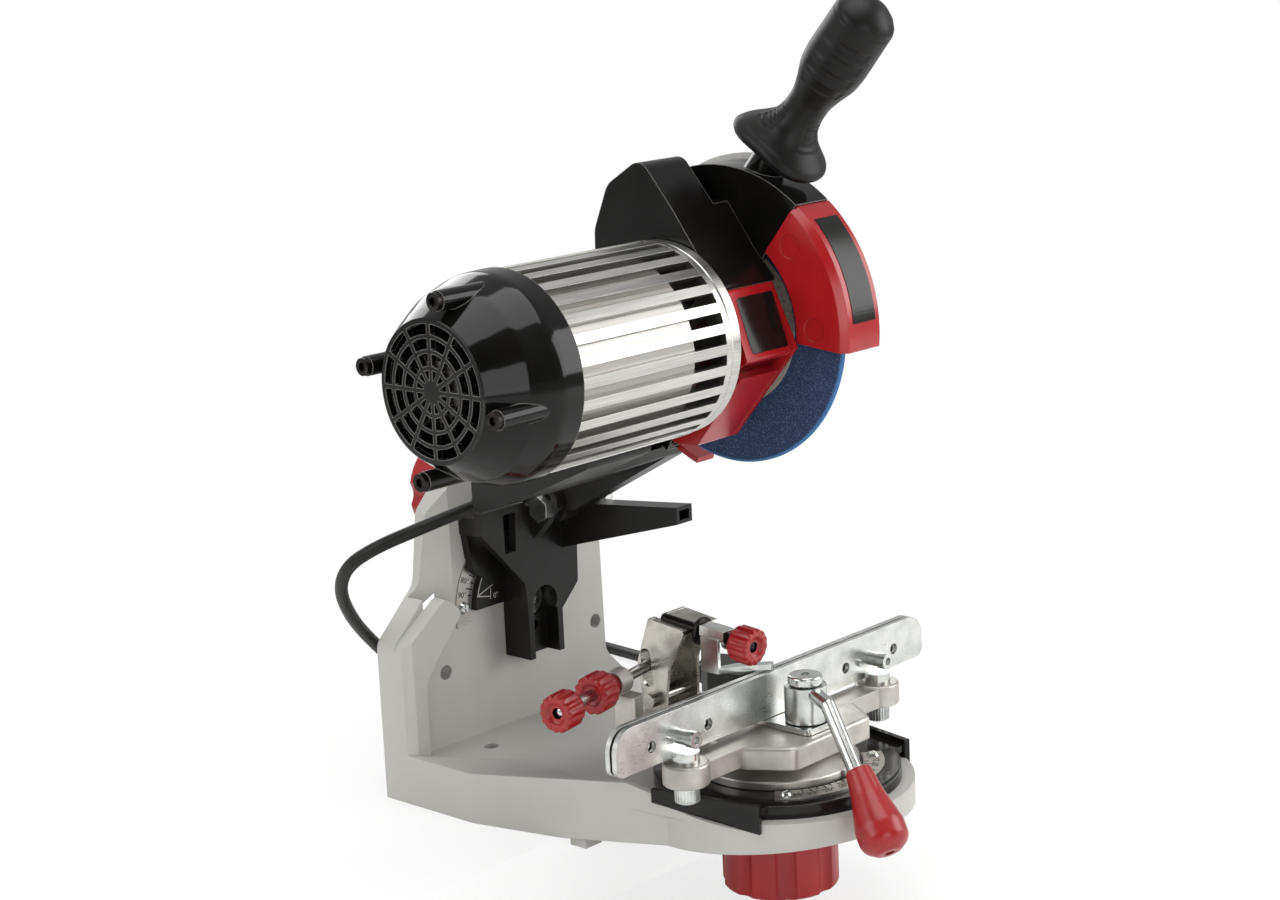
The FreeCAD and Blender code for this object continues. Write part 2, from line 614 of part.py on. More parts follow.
def cap_bolts():
    """Four long bolts that hold the cap to the housing."""
    bolts = []
    for k in range(4):
        at = polar(79 + 90 * k, 43)
        shank = rod(2.2, V(cap_x - 1, at.y, at.z), V(motor_x0 - 0.2, at.y, at.z))
        head = cut(rod(4.2, V(cap_x - 3.6, at.y, at.z), V(cap_x - 1, at.y, at.z)),
                   hexagon(4, V(cap_x - 4, at.y, at.z), V(cap_x - 2, at.y, at.z)))
        bolts.append(fused(shank, head))
    return Part.makeCompound(bolts)


def front_bell():
    """Front plate of the motor with its bearing seat."""
    plate = axis_turned([(bearing_r, 0), (47, 0), (48.6, 2), (48.6, bell_x1 - motor_x1 - 1), (bearing_r, bell_x1 - motor_x1)], motor_x1)
    seat = axis_ring(bearing_r + 4, bearing_r, motor_x1 - 2, motor_x1)
    vents = [rod(4.2, polar(a, 32, motor_x1 - 1), polar(a, 32, bell_x1 + 1)) for a in range(15, 375, 30)]
    return cut(fused(plate, seat), *vents)


def bearing(x0):
    return axis_ring(bearing_r, shaft_r, x0, x0 + bearing_w)


def motor_bearings():
    return Part.makeCompound([bearing(cap_x + cap_wall), bearing(bell_x1 - bearing_w)])


def stator():
    """Stator core with the copper end turns on both faces."""
    core = axis_ring(motor_bore_r, 22.5, motor_x0 + 18, motor_x0 + 66)
    notches = [rod(2.6, polar(a, 27, motor_x0), polar(a, 27, motor_x0 + 80)) for a in range(0, 360, 20)]
    ends = [axis_turned([(30, 0), (38, 0), (38, 11, 4), (30, 11, 4)], x) for x in (motor_x0 + 66, motor_x0 + 7)]
    return fused(cut(core, *notches), *ends)


def cooling_fan():
    x0 = cap_x + cap_wall + bearing_w + 4
    hub = axis_ring(14, shaft_r, x0, x0 + 12)
    disc = axis_ring(34, 13, x0 + 9, x0 + 11)
    blade = box(x0, x0 + 10, spindle_y - 1, spindle_y + 1, spindle_z + 13, spindle_z + 34)
    return fused(hub, disc, *around(blade, V(0, spindle_y, spindle_z), X, 9))


def rotor_shaft():
    """Motor shaft with the rotor core on it and the wheel's seat at its right end."""
    back = cap_x + cap_wall
    core = axis_rod(22.0, motor_x0 + 18, motor_x0 + 66)
    seat = axis_rod(wheel_bore / 2 - running, -wheel_t / 2 - 6, wheel_t / 2)
    return fused(axis_rod(shaft_r, back, -wheel_t / 2 - 6), core, seat, axis_rod(5.5, 0, guard_x1 - 2))


def grinding_wheel():
    half = wheel_t / 2
    return axis_turned([(wheel_bore / 2, 0), (wheel_r - 1.2, 0), (wheel_r, 1.2), (wheel_r, wheel_t - 1.2),
                        (wheel_r - 1.2, wheel_t), (wheel_bore / 2, wheel_t)], -half)


def wheel_labels():
    """Paper blotters between the wheel and its flanges."""
    half = wheel_t / 2
    discs = [axis_ring(label_r, wheel_bore / 2, -half - 0.4, -half), axis_ring(label_r, wheel_bore / 2, half, half + 0.4)]
    return Part.makeCompound(discs)


def wheel_flanges():
    half = wheel_t / 2 + 0.4
    inner = axis_ring(flange_r, wheel_bore / 2, -half - 4, -half)
    outer = axis_ring(flange_r, 5.5, half, half + 4)
    return Part.makeCompound([inner, outer])


def wheel_nut():
    start = wheel_t / 2 + 4.4
    at = V(0, spindle_y, spindle_z)
    return cut(hexagon(17, at + X * start, at + X * (start + 6)), axis_rod(5.5, start - 1, start + 8))


def guard_body():
    """Black wheel guard: left wall and rim, open to the right, with the boss for the handle."""
    wall = sector(0.01, guard_r, guard_seam, guard_end, guard_x0, guard_x0 + 3)
    rim = sector(guard_r - guard_wall, guard_r, guard_seam, guard_end, guard_x0, guard_x1)
    foot = V(handle_x, handle_foot_y, handle_foot_z)
    lean = handle_direction()
    boss = cut(rod(9.5, foot - lean * 20, foot), axis_rod(guard_r - guard_wall, -30, 40))
    opening = axis_rod(flange_r + 3, guard_x0 - 1, guard_x0 + 4)
    ribs = [sector(guard_r - 7, guard_r - guard_wall, a, a + 3, guard_x1 - 8, guard_x1) for a in (75, 130, 185, 230)]
    screw = rod(3 + running, foot - lean * 30, foot + lean)
    return cut(fused(wall, rim, boss, *ribs), opening, screw)


def guard_front_cover():
    """Red cover over the front of the wheel, with a bevelled outer edge."""
    x0, x1 = guard_x0 - 1.5, guard_x1 + 1.5
    outer = sector(50, guard_r - 1, cover_low, guard_seam, x0, x1)
    bevel = sector(guard_r - 4, guard_r + 2, cover_low - 2, guard_seam + 2, x0 - 1, x0 + 2.5)
    slope = axis_turned([(guard_r - 4, 0), (guard_r + 3, 0), (guard_r + 3, 3.5), (guard_r - 1, 3.5)], x0)
    channel = sector(1, guard_r - 3.2, cover_low - 2, guard_seam + 2, x0 + 3, x1 - 3)
    dimples = [rod(6, polar(a, r, x0 - 1), polar(a, r, x0 + 0.6)) for a, r in ((42, 63.6), (2, 61))]
    body = cut(outer, channel, slope.common(bevel.fuse(sector(guard_r - 5, guard_r + 3, cover_low - 3, guard_seam + 3, x0 - 1, x1))))
    hubs = axis_rod(flange_r + 26, x0 - 1, x0 + 4)
    return cut(body, hubs, *dimples)


def guard_side_plate():
    """Light grey cover over the right side of the guard."""
    x0 = guard_x1 + gap + 1.5
    plate = fused(sector(0.01, side_plate_r, side_plate_step, guard_end - 20, x0, x0 + side_plate_t),
                  sector(0.01, guard_r - side_plate_over, guard_seam - 4, side_plate_step + 1, x0, x0 + side_plate_t))
    spacer = [rod(5, polar(a, guard_r - 4.5, guard_x1), polar(a, guard_r - 4.5, x0 + 1)) for a in guard_screw_angles]
    return cut(fused(plate, *spacer), axis_rod(12, x0 - 1, x0 + 5))


def guard_screws():
    """Slotted screws of the guard's side plate."""
    x0 = guard_x1 + gap + 1.5 + side_plate_t
    screws = []
    for a in guard_screw_angles:
        at = polar(a, guard_r - 4.5, x0)
        slot = box(x0 + 1.2, x0 + 3, at.y - 5, at.y + 5, at.z - 0.5, at.z + 0.5)
        screws.append(cut(rod(4, at, at + X * 2.2), slot))
    return screws


def spark_tip():
    """Red deflector at the lower back edge of the guard."""
    return sector(guard_r - guard_wall, guard_r + 1, guard_end, guard_end + spark_reach, guard_x0 + 9, guard_x1 - 3)


def switch_block():
    """Black block between motor and guard, stepped at the top, with the switch on its back."""
    x0, x1 = bell_x1, guard_x0
    body = prism([(-98, 240, 4), (-100, 316, 14), (-110, 339, 12), (-133, 353, 8), (-153, 328.5, 3), (-170, 305),
                  (-182, 292, 2), (-182, lamp_top_z), (lamp_back_y, lamp_top_z), (lamp_back_y, 236), (-146, 232)],
                 "yz", x0, x1)
    step = prism([(-90, 328), (-156, 328), (-156, 360), (-90, 360)], "yz", x1 - 11, x1 + 1)
    pocket = box(-40, -22, -104, -90, 279, 305)
    hole = axis_rod(shaft_r + 2, x0 - 1, x1 + 1)
    inside = prism([(-104, 262, 4), (-106, 312, 10), (-130, 344, 8), (-150, 322), (-170, 297), (-154, 294), (-154, 262)],
                   "yz", x0 + 3, x1 - 3)
    core = box(-43, -19, -106, -90, 276, 308)
    pivot = rod(1.5 + running, switch_at - X * 11.5, switch_at + X * 11.5)
    return cut(body, step, cut(inside, core, axis_rod(shaft_r + 5, x0, x1)), pocket, hole, pivot)


def switch_rocker():
    """Rocker of the on/off switch on its pivot pin, in the back of the block."""
    y, z = switch_at.y, switch_at.z
    key = prism([(y + 0.3, z - 11), (y + 2.2, z - 11.5), (y + 1.2, z), (y + 3.6, z + 11.5), (y + 0.3, z + 11), (y - 2, z)],
                "yz", switch_at.x - 7, switch_at.x + 7)
    return fused(key, rod(1.5, switch_at - X * 11, switch_at + X * 11))


def lamp_housing():
    """Red housing below the block: front face for a label and the sloping chute under the lamp."""
    x0, x1 = -47.0, guard_x0 - 3
    back = lamp_back_y
    top = lamp_top_z
    upper = prism([(back, top), (-183, top, 2), (-195, 256, 2), (back, 234)], "yz", x0, x1)
    hood = prism([(back - 2.5, top - 2.5), (-180, top - 2.5), (-191, 262), (-191, 250), (back - 2.5, 230)], "yz",
                 x0 + 2.5, x1 - 2.5)
    floor = prism([(-136, 212, 2), (-143, 209, 2), (-156, 209.5, 3), (-186, 246), (-180, 250), (-150, 224), (-140, 222)],
                  "yz", x0 + 5, x1)
    right = prism([(back, top), (-183, top), (-198, 258), (-156.6, 210, 3), (-143, 209.5, 2), (-136, 213), (-146, 231.5),
                   (back, 235.5)], "yz", x1 - 2.5, x1)
    return cut(fused(cut(upper, hood), floor, right), lamp_lens())


def lamp_lens():
    """Clear window across the mouth of the lamp housing."""
    x0, x1 = -44.0, guard_x0 - 5.7
    return prism([(-189, 253), (-190.5, 255), (-160, 233), (-158.5, 231)], "yz", x0, x1)


def lamp_bulb():
    """Bulb hanging in its socket from the ceiling of the lamp housing."""
    at = V(-28, -172, lamp_top_z - 12.5)
    glass = turned([(0, 0), (4, 0, 1), (5, 3), (11, 14, 6), (9, 24, 8), (0, 27)], at, V(0, 0, -1))
    return fused(glass, rod(8, at, at + Z * 10))


# ---------------------------------------------------------------- handle
def handle_direction():
    a = math.radians(handle_lean)
    return V(0, -math.sin(a), math.cos(a))


def handle_grip():
    """Moulded grip with a saddle-shaped hand stop, ribbed neck, swelling body and its stud."""
    n = handle_len
    profile = [(0, 0), (13, 0, 3), (25, 5, 4), (26.8, 11, 3), (17, 17, 6), (10.6, 25, 8), (10.4, 44, 8), (15.6, 60, 14),
               (16, n - 24, 16), (13.2, n - 6, 8), (8, n, 4), (0, n)]
    body = turned(profile, V(0, 0, 0), Z)
    trims = [box(-40, 40, min(s * 22, s * 40), max(s * 22, s * 40), -1, 20) for s in (-1, 1)]
    grooves = [ring(12, 9.9, V(0, 0, h), V(0, 0, h + 1.2)) for h in (27, 30, 33, 36, 39)]
    stud = rod(3, V(0, 0, -12), V(0, 0, 5))
    body = fused(cut(body, *trims, *grooves), stud)
    return aimed(body, V(handle_x, handle_foot_y, handle_foot_z), handle_direction())


def cord_gland():
    """Ribbed strain relief where the cord leaves the head."""
    end = V(*cord_head[0])
    away = (V(*cord_head[1]) - end).normalize()
    start = end + away * ((gap + 2 - end.x) / away.x)
    length = (end - start).Length
    body = turned([(0, 0), (7, 0), (7, 20, 1), (5.6, 24, 2), (4.9, 80, 1), (4.9, length), (0, length)], start, away)
    grooves = [ring(8, 4.6, start + away * h, start + away * (h + 1.4)) for h in (40, 46, 52, 58, 64, 70)]
    return cut(body, *grooves)


# ---------------------------------------------------------------- vise
def cheek_space(reach):
    """Room for the plate's cheeks on both flats of the nose, reaching outward from the flats."""
    below = prism([(-130, 29), (-143, 29), (-215, 20), (-130, 10)], "yz", -120, 120)
    spaces = []
    for s in (-1, 1):
        plan = [(s * 71.6, -143), (s * (71.6 + reach), -143 - reach / 3), (s * (59.4 + reach), -204 - reach / 3),
                (s * 59.4, -204)]
        spaces.append(cut(prism(plan, "xy", 21, rim_waist_z), below))
    return spaces


def vise_plate():
    """Black round plate on the nose, with cheeks against both sides of the nose."""
    disc = turned([(0, 0), (plate_r, 0), (plate_r, plate_t, 1.2), (0, plate_t)], V(0, vise_y, nose_top_z), Z)
    bore = rod(swivel_bolt_d / 2 + running, V(0, vise_y, 0), V(0, vise_y, 60))
    flanges = [prism([(s * 50, -172), (s * 67, -172), (s * 61, -203), (s * 45, -203)], "xy", plate_top_z - 3.5, plate_top_z)
               for s in (-1, 1)]
    return cut(fused(disc, *cheek_space(3), *flanges), bore)


def vise_scale():
    """Graduated arc on the plate, in front of the vise."""
    z0 = plate_top_z
    arc = ring(56, 45, V(0, vise_y, z0), V(0, vise_y, z0 + 0.8))
    reach = 80
    a = math.radians(52)
    wedge = prism([(0, vise_y), (-reach * math.sin(a), vise_y - reach * math.cos(a)), (-reach, vise_y - reach * 2),
                   (reach, vise_y - reach * 2), (reach * math.sin(a), vise_y - reach * math.cos(a))], "xy", z0 - 1, z0 + 2)
    return arc.common(wedge)


def vise_scale_screws():
    screws = []
    for s in (-1, 1):
        a = math.radians(46)
        at = V(s * 50.5 * math.sin(a), vise_y - 50.5 * math.cos(a), plate_top_z + 0.8)
        head = turned([(0, 0), (3.4, 0), (2.4, 1.6), (0, 1.6)], at, Z)
        screws.append(cut(head, box(at.x - 3, at.x + 3, at.y - 0.4, at.y + 0.4, at.z + 1, at.z + 2)))
    return screws


def vise_body():
    """Cast body of the vise: disc with pointer, hub block, arms with post bosses and the chain-stop arm."""
    low = plate_top_z + gap
    at = V(0, vise_y, 0)
    disc = turned([(0, low), (disc_r, low), (disc_r, low + 4, 1), (disc_r - 6, low + 8, 3), (30, arm_top_z - 12, 2), (0, arm_top_z - 12)],
                  at, Z)
    pointer = prism([(-3.2, vise_y - 20), (0, vise_y - disc_r - 1.6), (3.2, vise_y - 20)], "xy", low, low + 4.5)
    hub = prism([(-44, -181, 8), (-30, -203, 6), (32, -203, 6), (46, -181, 8), (46, -158, 10), (34, -138, 10), (-34, -138, 10),
                 (-44, -158, 10)], "xy", arm_top_z - 13, arm_top_z - 1.1)
    hub = eased(hub, 2.0, lambda p: p.z > arm_top_z - 1.2)
    arms = prism([(-post_x, post_y - 8), (post_x, post_y - 8), (post_x, post_y + 7), (-post_x, post_y + 7)], "xy",
                 arm_top_z - 11.5, arm_top_z - 1)
    bosses = []
    for s in (-1, 1):
        boss = turned([(0, 0), (boss_r, 0, 1.5), (boss_r, 12, 1.5), (0, 12)], V(s * post_x, post_y, arm_top_z - 12), Z)
        bosses.append(boss)
    carrier = prism([(-26, -142), (-62, -124, 4), (-64, -108, 4), (-40, -98, 4), (4, -92, 4), (12, -100, 4), (12, -142)], "xy",
                    arm_top_z - 10, arm_top_z - 2)
    block = prism([(-60, -122, 2), (-60, -106, 2), (-51, -104, 2), (-51, -120, 2)], "xy", arm_top_z - 10, 76)
    eye = rod(7, stop_line(46.4), stop_line(56.4))
    body = fused(disc, pointer, hub, arms, carrier, block, eye, *bosses)
    bore = rod(swivel_bolt_d / 2, V(0, vise_y, low - 1), V(0, vise_y, arm_top_z - 14))
    posts = [rod(post_r + 0.4, V(s * post_x, post_y, 30), V(s * post_x, post_y, 70)) for s in (-1, 1)]
    pin = rod(hub_pin_d / 2, V(0, hub_y, arm_top_z - 13), V(0, hub_y, arm_top_z))
    thread = rod(stop_rod_r + running, stop_line(30), stop_line(80))
    return cut(body, bore, pin, thread, *posts)


def vise_pivot_bolt():
    """Bolt through plate and nose that the lock knob draws down."""
    low, top = -20, arm_top_z - 14
    return rod(swivel_bolt_d / 2, V(0, vise_y, low), V(0, vise_y, top))


def vise_lock_knob():
    """Large fluted knob under the nose that clamps the vise."""
    neck_h = 9.5
    top = under_rise - gap
    knob = spun(lobed(vise_knob_r, vise_knob_h - neck_h, 8, 7, 20, 0), V(0, 0, 0), X, 180)
    body = fused(knob, rod(26, V(0, 0, -4), V(0, 0, neck_h)))
    body.translate(V(0, vise_y, top - neck_h))
    return cut(body, rod(swivel_bolt_d / 2 + running, V(0, vise_y, -20 - gap), V(0, vise_y, 30)))


def jaw_outline():
    half = jaw_len / 2
    top = jaw_bottom_z + jaw_h
    return [(-half, jaw_bottom_z, 5), (half, jaw_bottom_z, 5), (half, top, 18), (-half, top, 18)]


def jaw(y0, hole_r):
    plate = prism(jaw_outline(), "xz", y0, y0 + jaw_t)
    z = jaw_bottom_z + 9.8
    holes = [rod(jaw_hole_d / 2, V(x, y0 - 1, z), V(x, y0 + jaw_t + 1, z)) for x in (-98.6, -56.2, 56.2, 98.6)]
    holes += [rod(hole_r, V(s * post_x, y0 - 1, z), V(s * post_x, y0 + jaw_t + 1, z)) for s in (-1, 1)]
    return cut(plate, *holes)


def front_jaw():
    return jaw(jaw_front_y, 3.0 + running)


def rear_jaw():
    return jaw(jaw_front_y + jaw_t + chain_gap, 3.0 + gap)


def jaw_guide_screws():
    """Cap screws through both jaws at the posts, with the small stop pins beside them."""
    z = jaw_bottom_z + 9.8
    back = jaw_front_y + 2 * jaw_t + chain_gap + jaw_travel + 4
    items = []
    for s in (-1, 1):
        at = V(s * post_x, jaw_front_y, z)
        shank = rod(3.0, at - Y * 9, V(at.x, back, z))
        sleeve = rod(3.9, at - Y * 7.0, at)
        head = cut(rod(4.4, at - Y * 11.5, at - Y * 6.5), hexagon(4, at - Y * 12, at - Y * 9))
        nut = hexagon(7, V(at.x, back - 3, z), V(at.x, back, z))
        items.append(fused(shank, sleeve, head, nut))
    for x in (-post_x - 8, post_x - 10.5):
        items.append(rod(1.8, V(x, jaw_front_y - 1.6, z), V(x, jaw_front_y, z)))
    return Part.makeCompound(items)


def jaw_posts():
    """Posts that carry the jaws, threaded below the bosses."""
    seat = box(-jaw_len, jaw_len, jaw_front_y, 0, jaw_bottom_z, 2 * jaw_bottom_z)
    posts = []
    for s in (-1, 1):
        at = V(s * post_x, post_y, arm_top_z)
        shank = rod(post_r, at - Z * 21.5, at + Z * 4)
        posts.append(cut(fused(shank, rod(post_r + 2.2, at, at + Z * 5.4)), seat))
    return Part.makeCompound(posts)


def knurled_nut(side):
    """Knurled nut under a post boss."""
    low, high = 37.0, arm_top_z - 12 - gap
    at = V(side * post_x, post_y, low)
    body = turned([(0, 0), (nut_r, 0, 0.8), (nut_r, high - low, 0.8), (0, high - low)], at, Z)
    notch = box(nut_r - 0.35, nut_r + 1, -0.35, 0.35, -1, high - low + 1)
    notch.translate(at)
    return cut(body, rod(post_r + running, at - Z, at + Z * 20), *around(notch, at, Z, 24))


def clamp_slide():
    """Zinc slide under both jaws, turned up behind the rear jaw."""
    z0 = arm_top_z - 0.8
    z1 = jaw_bottom_z - 0.3
    back = jaw_front_y + 2 * jaw_t + chain_gap
    plate = prism([(-13, hub_y - 12, 3), (15, hub_y - 12, 3), (15, back + 3, 1), (-13, back + 3, 1)], "xy", z0, z1)
    tab = prism([(-13, back), (15, back), (15, back + 3), (-13, back + 3)], "xy", z0, jaw_bottom_z + 12)
    slot = prism([(-hub_pin_d / 2 - gap, hub_y + hub_pin_d / 2 + gap), (-hub_pin_d / 2 - gap, hub_y - hub_pin_d / 2 - gap - jaw_travel),
                  (hub_pin_d / 2 + gap, hub_y - hub_pin_d / 2 - gap - jaw_travel), (hub_pin_d / 2 + gap, hub_y + hub_pin_d / 2 + gap)],
                 "xy", z0 - 1, z1 + 1)
    return cut(fused(plate, tab), slot)


def clamp_pin():
    """Pin in the vise body that the clamp hub turns on, with its round head."""
    shank = rod(hub_pin_d / 2, V(0, hub_y, arm_top_z - 13), V(0, hub_y, 80))
    head = turned([(0, 0), (9, 0, 1), (9, 5.2, 1.5), (0, 5.2)], V(0, hub_y, 80), Z)
    return cut(fused(shank, head), hexagon(5, V(0, hub_y, 83), V(0, hub_y, 86)))


def lever_point(radius, z):
    """Point in the lever's plane, by distance from the clamp pin."""
    a = math.radians(lever_plane)
    return V(-radius * math.sin(a), hub_y - radius * math.cos(a), z)


def clamp_hub():
    """Steel hub of the clamp with its bent lever rod."""
    hub = ring(hub_r, hub_pin_d / 2 + running, V(0, hub_y, jaw_bottom_z + 0.3), V(0, hub_y, 79.7))
    start, bend, end = lever_point(9, 77), lever_point(23.3, 74.9), lever_point(56, 40)
    joint = Part.makeSphere(lever_rod_r, bend)
    first = cut(rod(lever_rod_r, start, bend), rod(hub_pin_d / 2 + 1, V(0, hub_y, 60), V(0, hub_y, 90)))
    trimmed = first.common(box(-100, 100, -300, 0, 0, 79.7))
    return fused(hub, trimmed, joint, rod(lever_rod_r, bend, end))


def lever_grip():
    """Red drop-shaped grip on the lever."""
    start, end = lever_point(51.5, 49), lever_point(80.5, 14.5)
    along = (end - start).normalize()
    n = (end - start).Length
    body = turned([(0, 0), (6.6, 0, 1.5), (8.5, 0.3 * n, 10), (12.8, 0.68 * n, 12), (12.6, 0.9 * n, 8), (6, n, 4), (0, n)], start, along)
    bore = rod(lever_rod_r, lever_point(23.3, 74.9), lever_point(56, 40))
    return cut(body, bore, hexagon(5, end - along * 4, end + along))


# ---------------------------------------------------------------- chain stop
def stop_line(t):
    """Point on the cross rod of the chain stop, t millimetres from its left end."""
    left, right = V(-106.9, -115, 80.6), V(-28, -101.5, 81.5)
    return left + (right - left).normalize() * t


def stop_cross_rod():
    knob = lobed(stop_knob_r, 13, 12, 1.6, 5, 0)
    knob = aimed(knob, stop_line(-5), stop_line(1) - stop_line(0))
    return fused(rod(stop_rod_r, stop_line(0), stop_line(84)), cut(knob, rod(3.5, stop_line(-6), stop_line(-2))))


def stop_lock_knob():
    """Second red knob, a lock nut on the cross rod against the cast block."""
    knob = lobed(stop_knob_r + 0.5, 12, 12, 1.6, 5, 0)
    knob = aimed(knob, stop_line(27), stop_line(1) - stop_line(0))
    dish = rod(6.2, stop_line(26), stop_line(32))
    return cut(fused(knob, rod(6, stop_line(38.5), stop_line(46.4 - gap))), dish, rod(stop_rod_r + running, stop_line(20), stop_line(60)))


def stop_bracket():
    """Zinc U bracket with a slot in its left cheek, leaning forward, and the pin across its foot."""
    foot = arm_top_z - 2
    cheek = [(-113, foot), (-99, foot), (-95, 83, 10), (-104, 108, 3), (-130, 105, 3), (-117, 83, 10)]
    left = prism(cheek, "yz", -28, -28 + stop_web_t)
    right = prism([(-113, foot), (-99, foot), (-95, 83, 10), (-104, 104, 3), (-122, 102, 3), (-114, 83, 10)],
                  "yz", -stop_web_t, 0)
    back = prism([(-101, foot), (-99, foot), (-95, 83), (-104, 108), (-106, 108), (-97.4, 83)], "yz", -28, 0)
    top = prism([(-104.5, 104, 0), (-104, 108, 0), (-128, 105, 0), (-129, 103, 0)], "yz", -28, 0)
    slot = prism([(-99, 70, 3.4), (-97, 90, 3.4), (-104, 92, 3.4), (-106, 70, 3.4)], "yz", -40, -20)
    screw = rod(3 + running, pawl_line(-10), pawl_line(20))
    pin = fused(rod(2.5, V(-31, -106, 64), V(3, -106, 64)), rod(4, V(-33, -106, 64), V(-28, -106, 64)),
                rod(4, V(0, -106, 64), V(3, -106, 64)))
    return fused(cut(fused(left, right, back, top), slot, screw), pin)


def pawl_line(t):
    """Point on the adjusting screw, t millimetres forward from its back end."""
    back, front = V(-20, -112, 106.5), V(-20, -167, 101.7)
    return back + (front - back).normalize() * t


def stop_adjust_screw():
    """Threaded rod along the pawl, with the third red knob in front."""
    along = (pawl_line(1) - pawl_line(0)).normalize()
    knob = aimed(lobed(stop_knob_r - 0.3, 12, 12, 1.6, 4.5, 0), pawl_line(47), along)
    return fused(rod(3, pawl_line(-4), pawl_line(48)), cut(knob, rod(3.5, pawl_line(56), pawl_line(60))),
                 ring(7.5, 3, pawl_line(22), pawl_line(23.5)))


def stop_pawl():
    """Folded strip that rides on the adjusting screw, with a finger bent down between the jaws."""
    along = (pawl_line(1) - pawl_line(0)).normalize()
    length = 16
    top = Part.makeBox(8, 1.5, length, V(-5, 4.0, 0))
    cheek = Part.makeBox(1.6, 5.5, length, V(-6.2, 0, 0))
    ears = [ring(5.4, 3 + running, V(0, 0, h), V(0, 0, h + 2)) for h in (0, length - 2)]
    saddle = aimed(fused(top, cheek, *ears), pawl_line(26), along)
    low = jaw_bottom_z + jaw_h + 1.0
    finger = prism([(-26.5, -147, 1), (-26.5, -151, 1), (-14, -160), (-5, -168.6, 1), (-1.2, -166.4, 1), (-1.2, -164.6, 1),
                    (-14, -152)], "xy", low, low + 3)
    riser = box(-27.2, -25.2, -151, -139.5, low, 104.0)
    return fused(saddle, riser, finger)


# ---------------------------------------------------------------- cord
def cord_path(points):
    """Straight runs joined by tangent arcs through a list of points."""
    places = [V(*p) for p in points]
    edges = []
    radii = []
    last = places[0]
    for before, here, after in zip(places, places[1:], places[2:]):
        a, b = before - here, after - here
        half = 0.5 * math.acos(V(a).normalize().dot(V(b).normalize()))
        radius = 0.45 * min(a.Length, b.Length) * math.tan(half)
        reach = 0.45 * min(a.Length, b.Length)
        start, end = here + V(a).normalize() * reach, here + V(b).normalize() * reach
        middle = (V(a).normalize() + V(b).normalize()).normalize()
        top = here + middle * (radius / math.sin(half) - radius)
        edges.append(Part.LineSegment(last, start).toShape())
        edges.append(Part.Arc(start, top, end).toShape())
        radii.append(round(radius, 1))
        last = end
    edges.append(Part.LineSegment(last, places[-1]).toShape())
    return Part.Wire(edges), radii


def cord_tube(points, name):
    path, radii = cord_path(points)
    start, direction = V(*points[0]), V(*points[1]) - V(*points[0])
    section = Part.Wire([Part.makeCircle(cord_r, start, direction)])
    tube = path.makePipeShell([section], True, False)
    expected = math.pi * cord_r ** 2 * path.Length
    print(name, "length", round(path.Length, 1), "radii", radii, "volume ratio", round(tube.Volume / expected, 4))
    return tube


def cord_coil():
    """Closed solid of the coiled length behind the column."""
    inner, outer = coil_mid_r - coil_w / 2, coil_mid_r + coil_w / 2
    return turned([(inner, 0, 3), (outer, 0, 5), (outer, coil_h, 5), (inner, coil_h, 3)], V(coil_x, coil_y, 0), Z)


def cord_plug():
    """Moulded mains plug with ribbed strain relief."""
    start, end = V(*cord_tail[-1]), V(132, -39.7, 14)
    along = (end - start).normalize()
    n = (end - start).Length
    relief = turned([(0, 0), (5.5, 0, 1), (7, 18, 1), (7, 22), (0, 22)], start, along)
    grooves = [ring(9, 4.6, start + along * h, start + along * (h + 1.6)) for h in (3, 7, 11, 15)]
    head = prism([(-8, 20, 4), (8, 20, 4), (14, 34, 5), (14, n, 3), (-14, n, 3), (-14, 34, 5)], "xy", 2, 26)
    turn = FreeCAD.Rotation(V(0, 1, 0), V(along.x, along.y, 0))
    head.Placement = FreeCAD.Placement(V(start.x, start.y, 0), turn)
    pins = [rod(2.4, end + V(along.y, -along.x, 0) * s, end + V(along.y, -along.x, 0) * s + along * 19) for s in (-9.5, 9.5)]
    return fused(cut(relief, *grooves), head, *pins)


def save(name, shape):
    """Writes one node and reports anything unsound about it."""
    if not shape.isValid():
        print("invalid:", name)
    shape.exportStep(os.path.join("parts", name + ".step"))


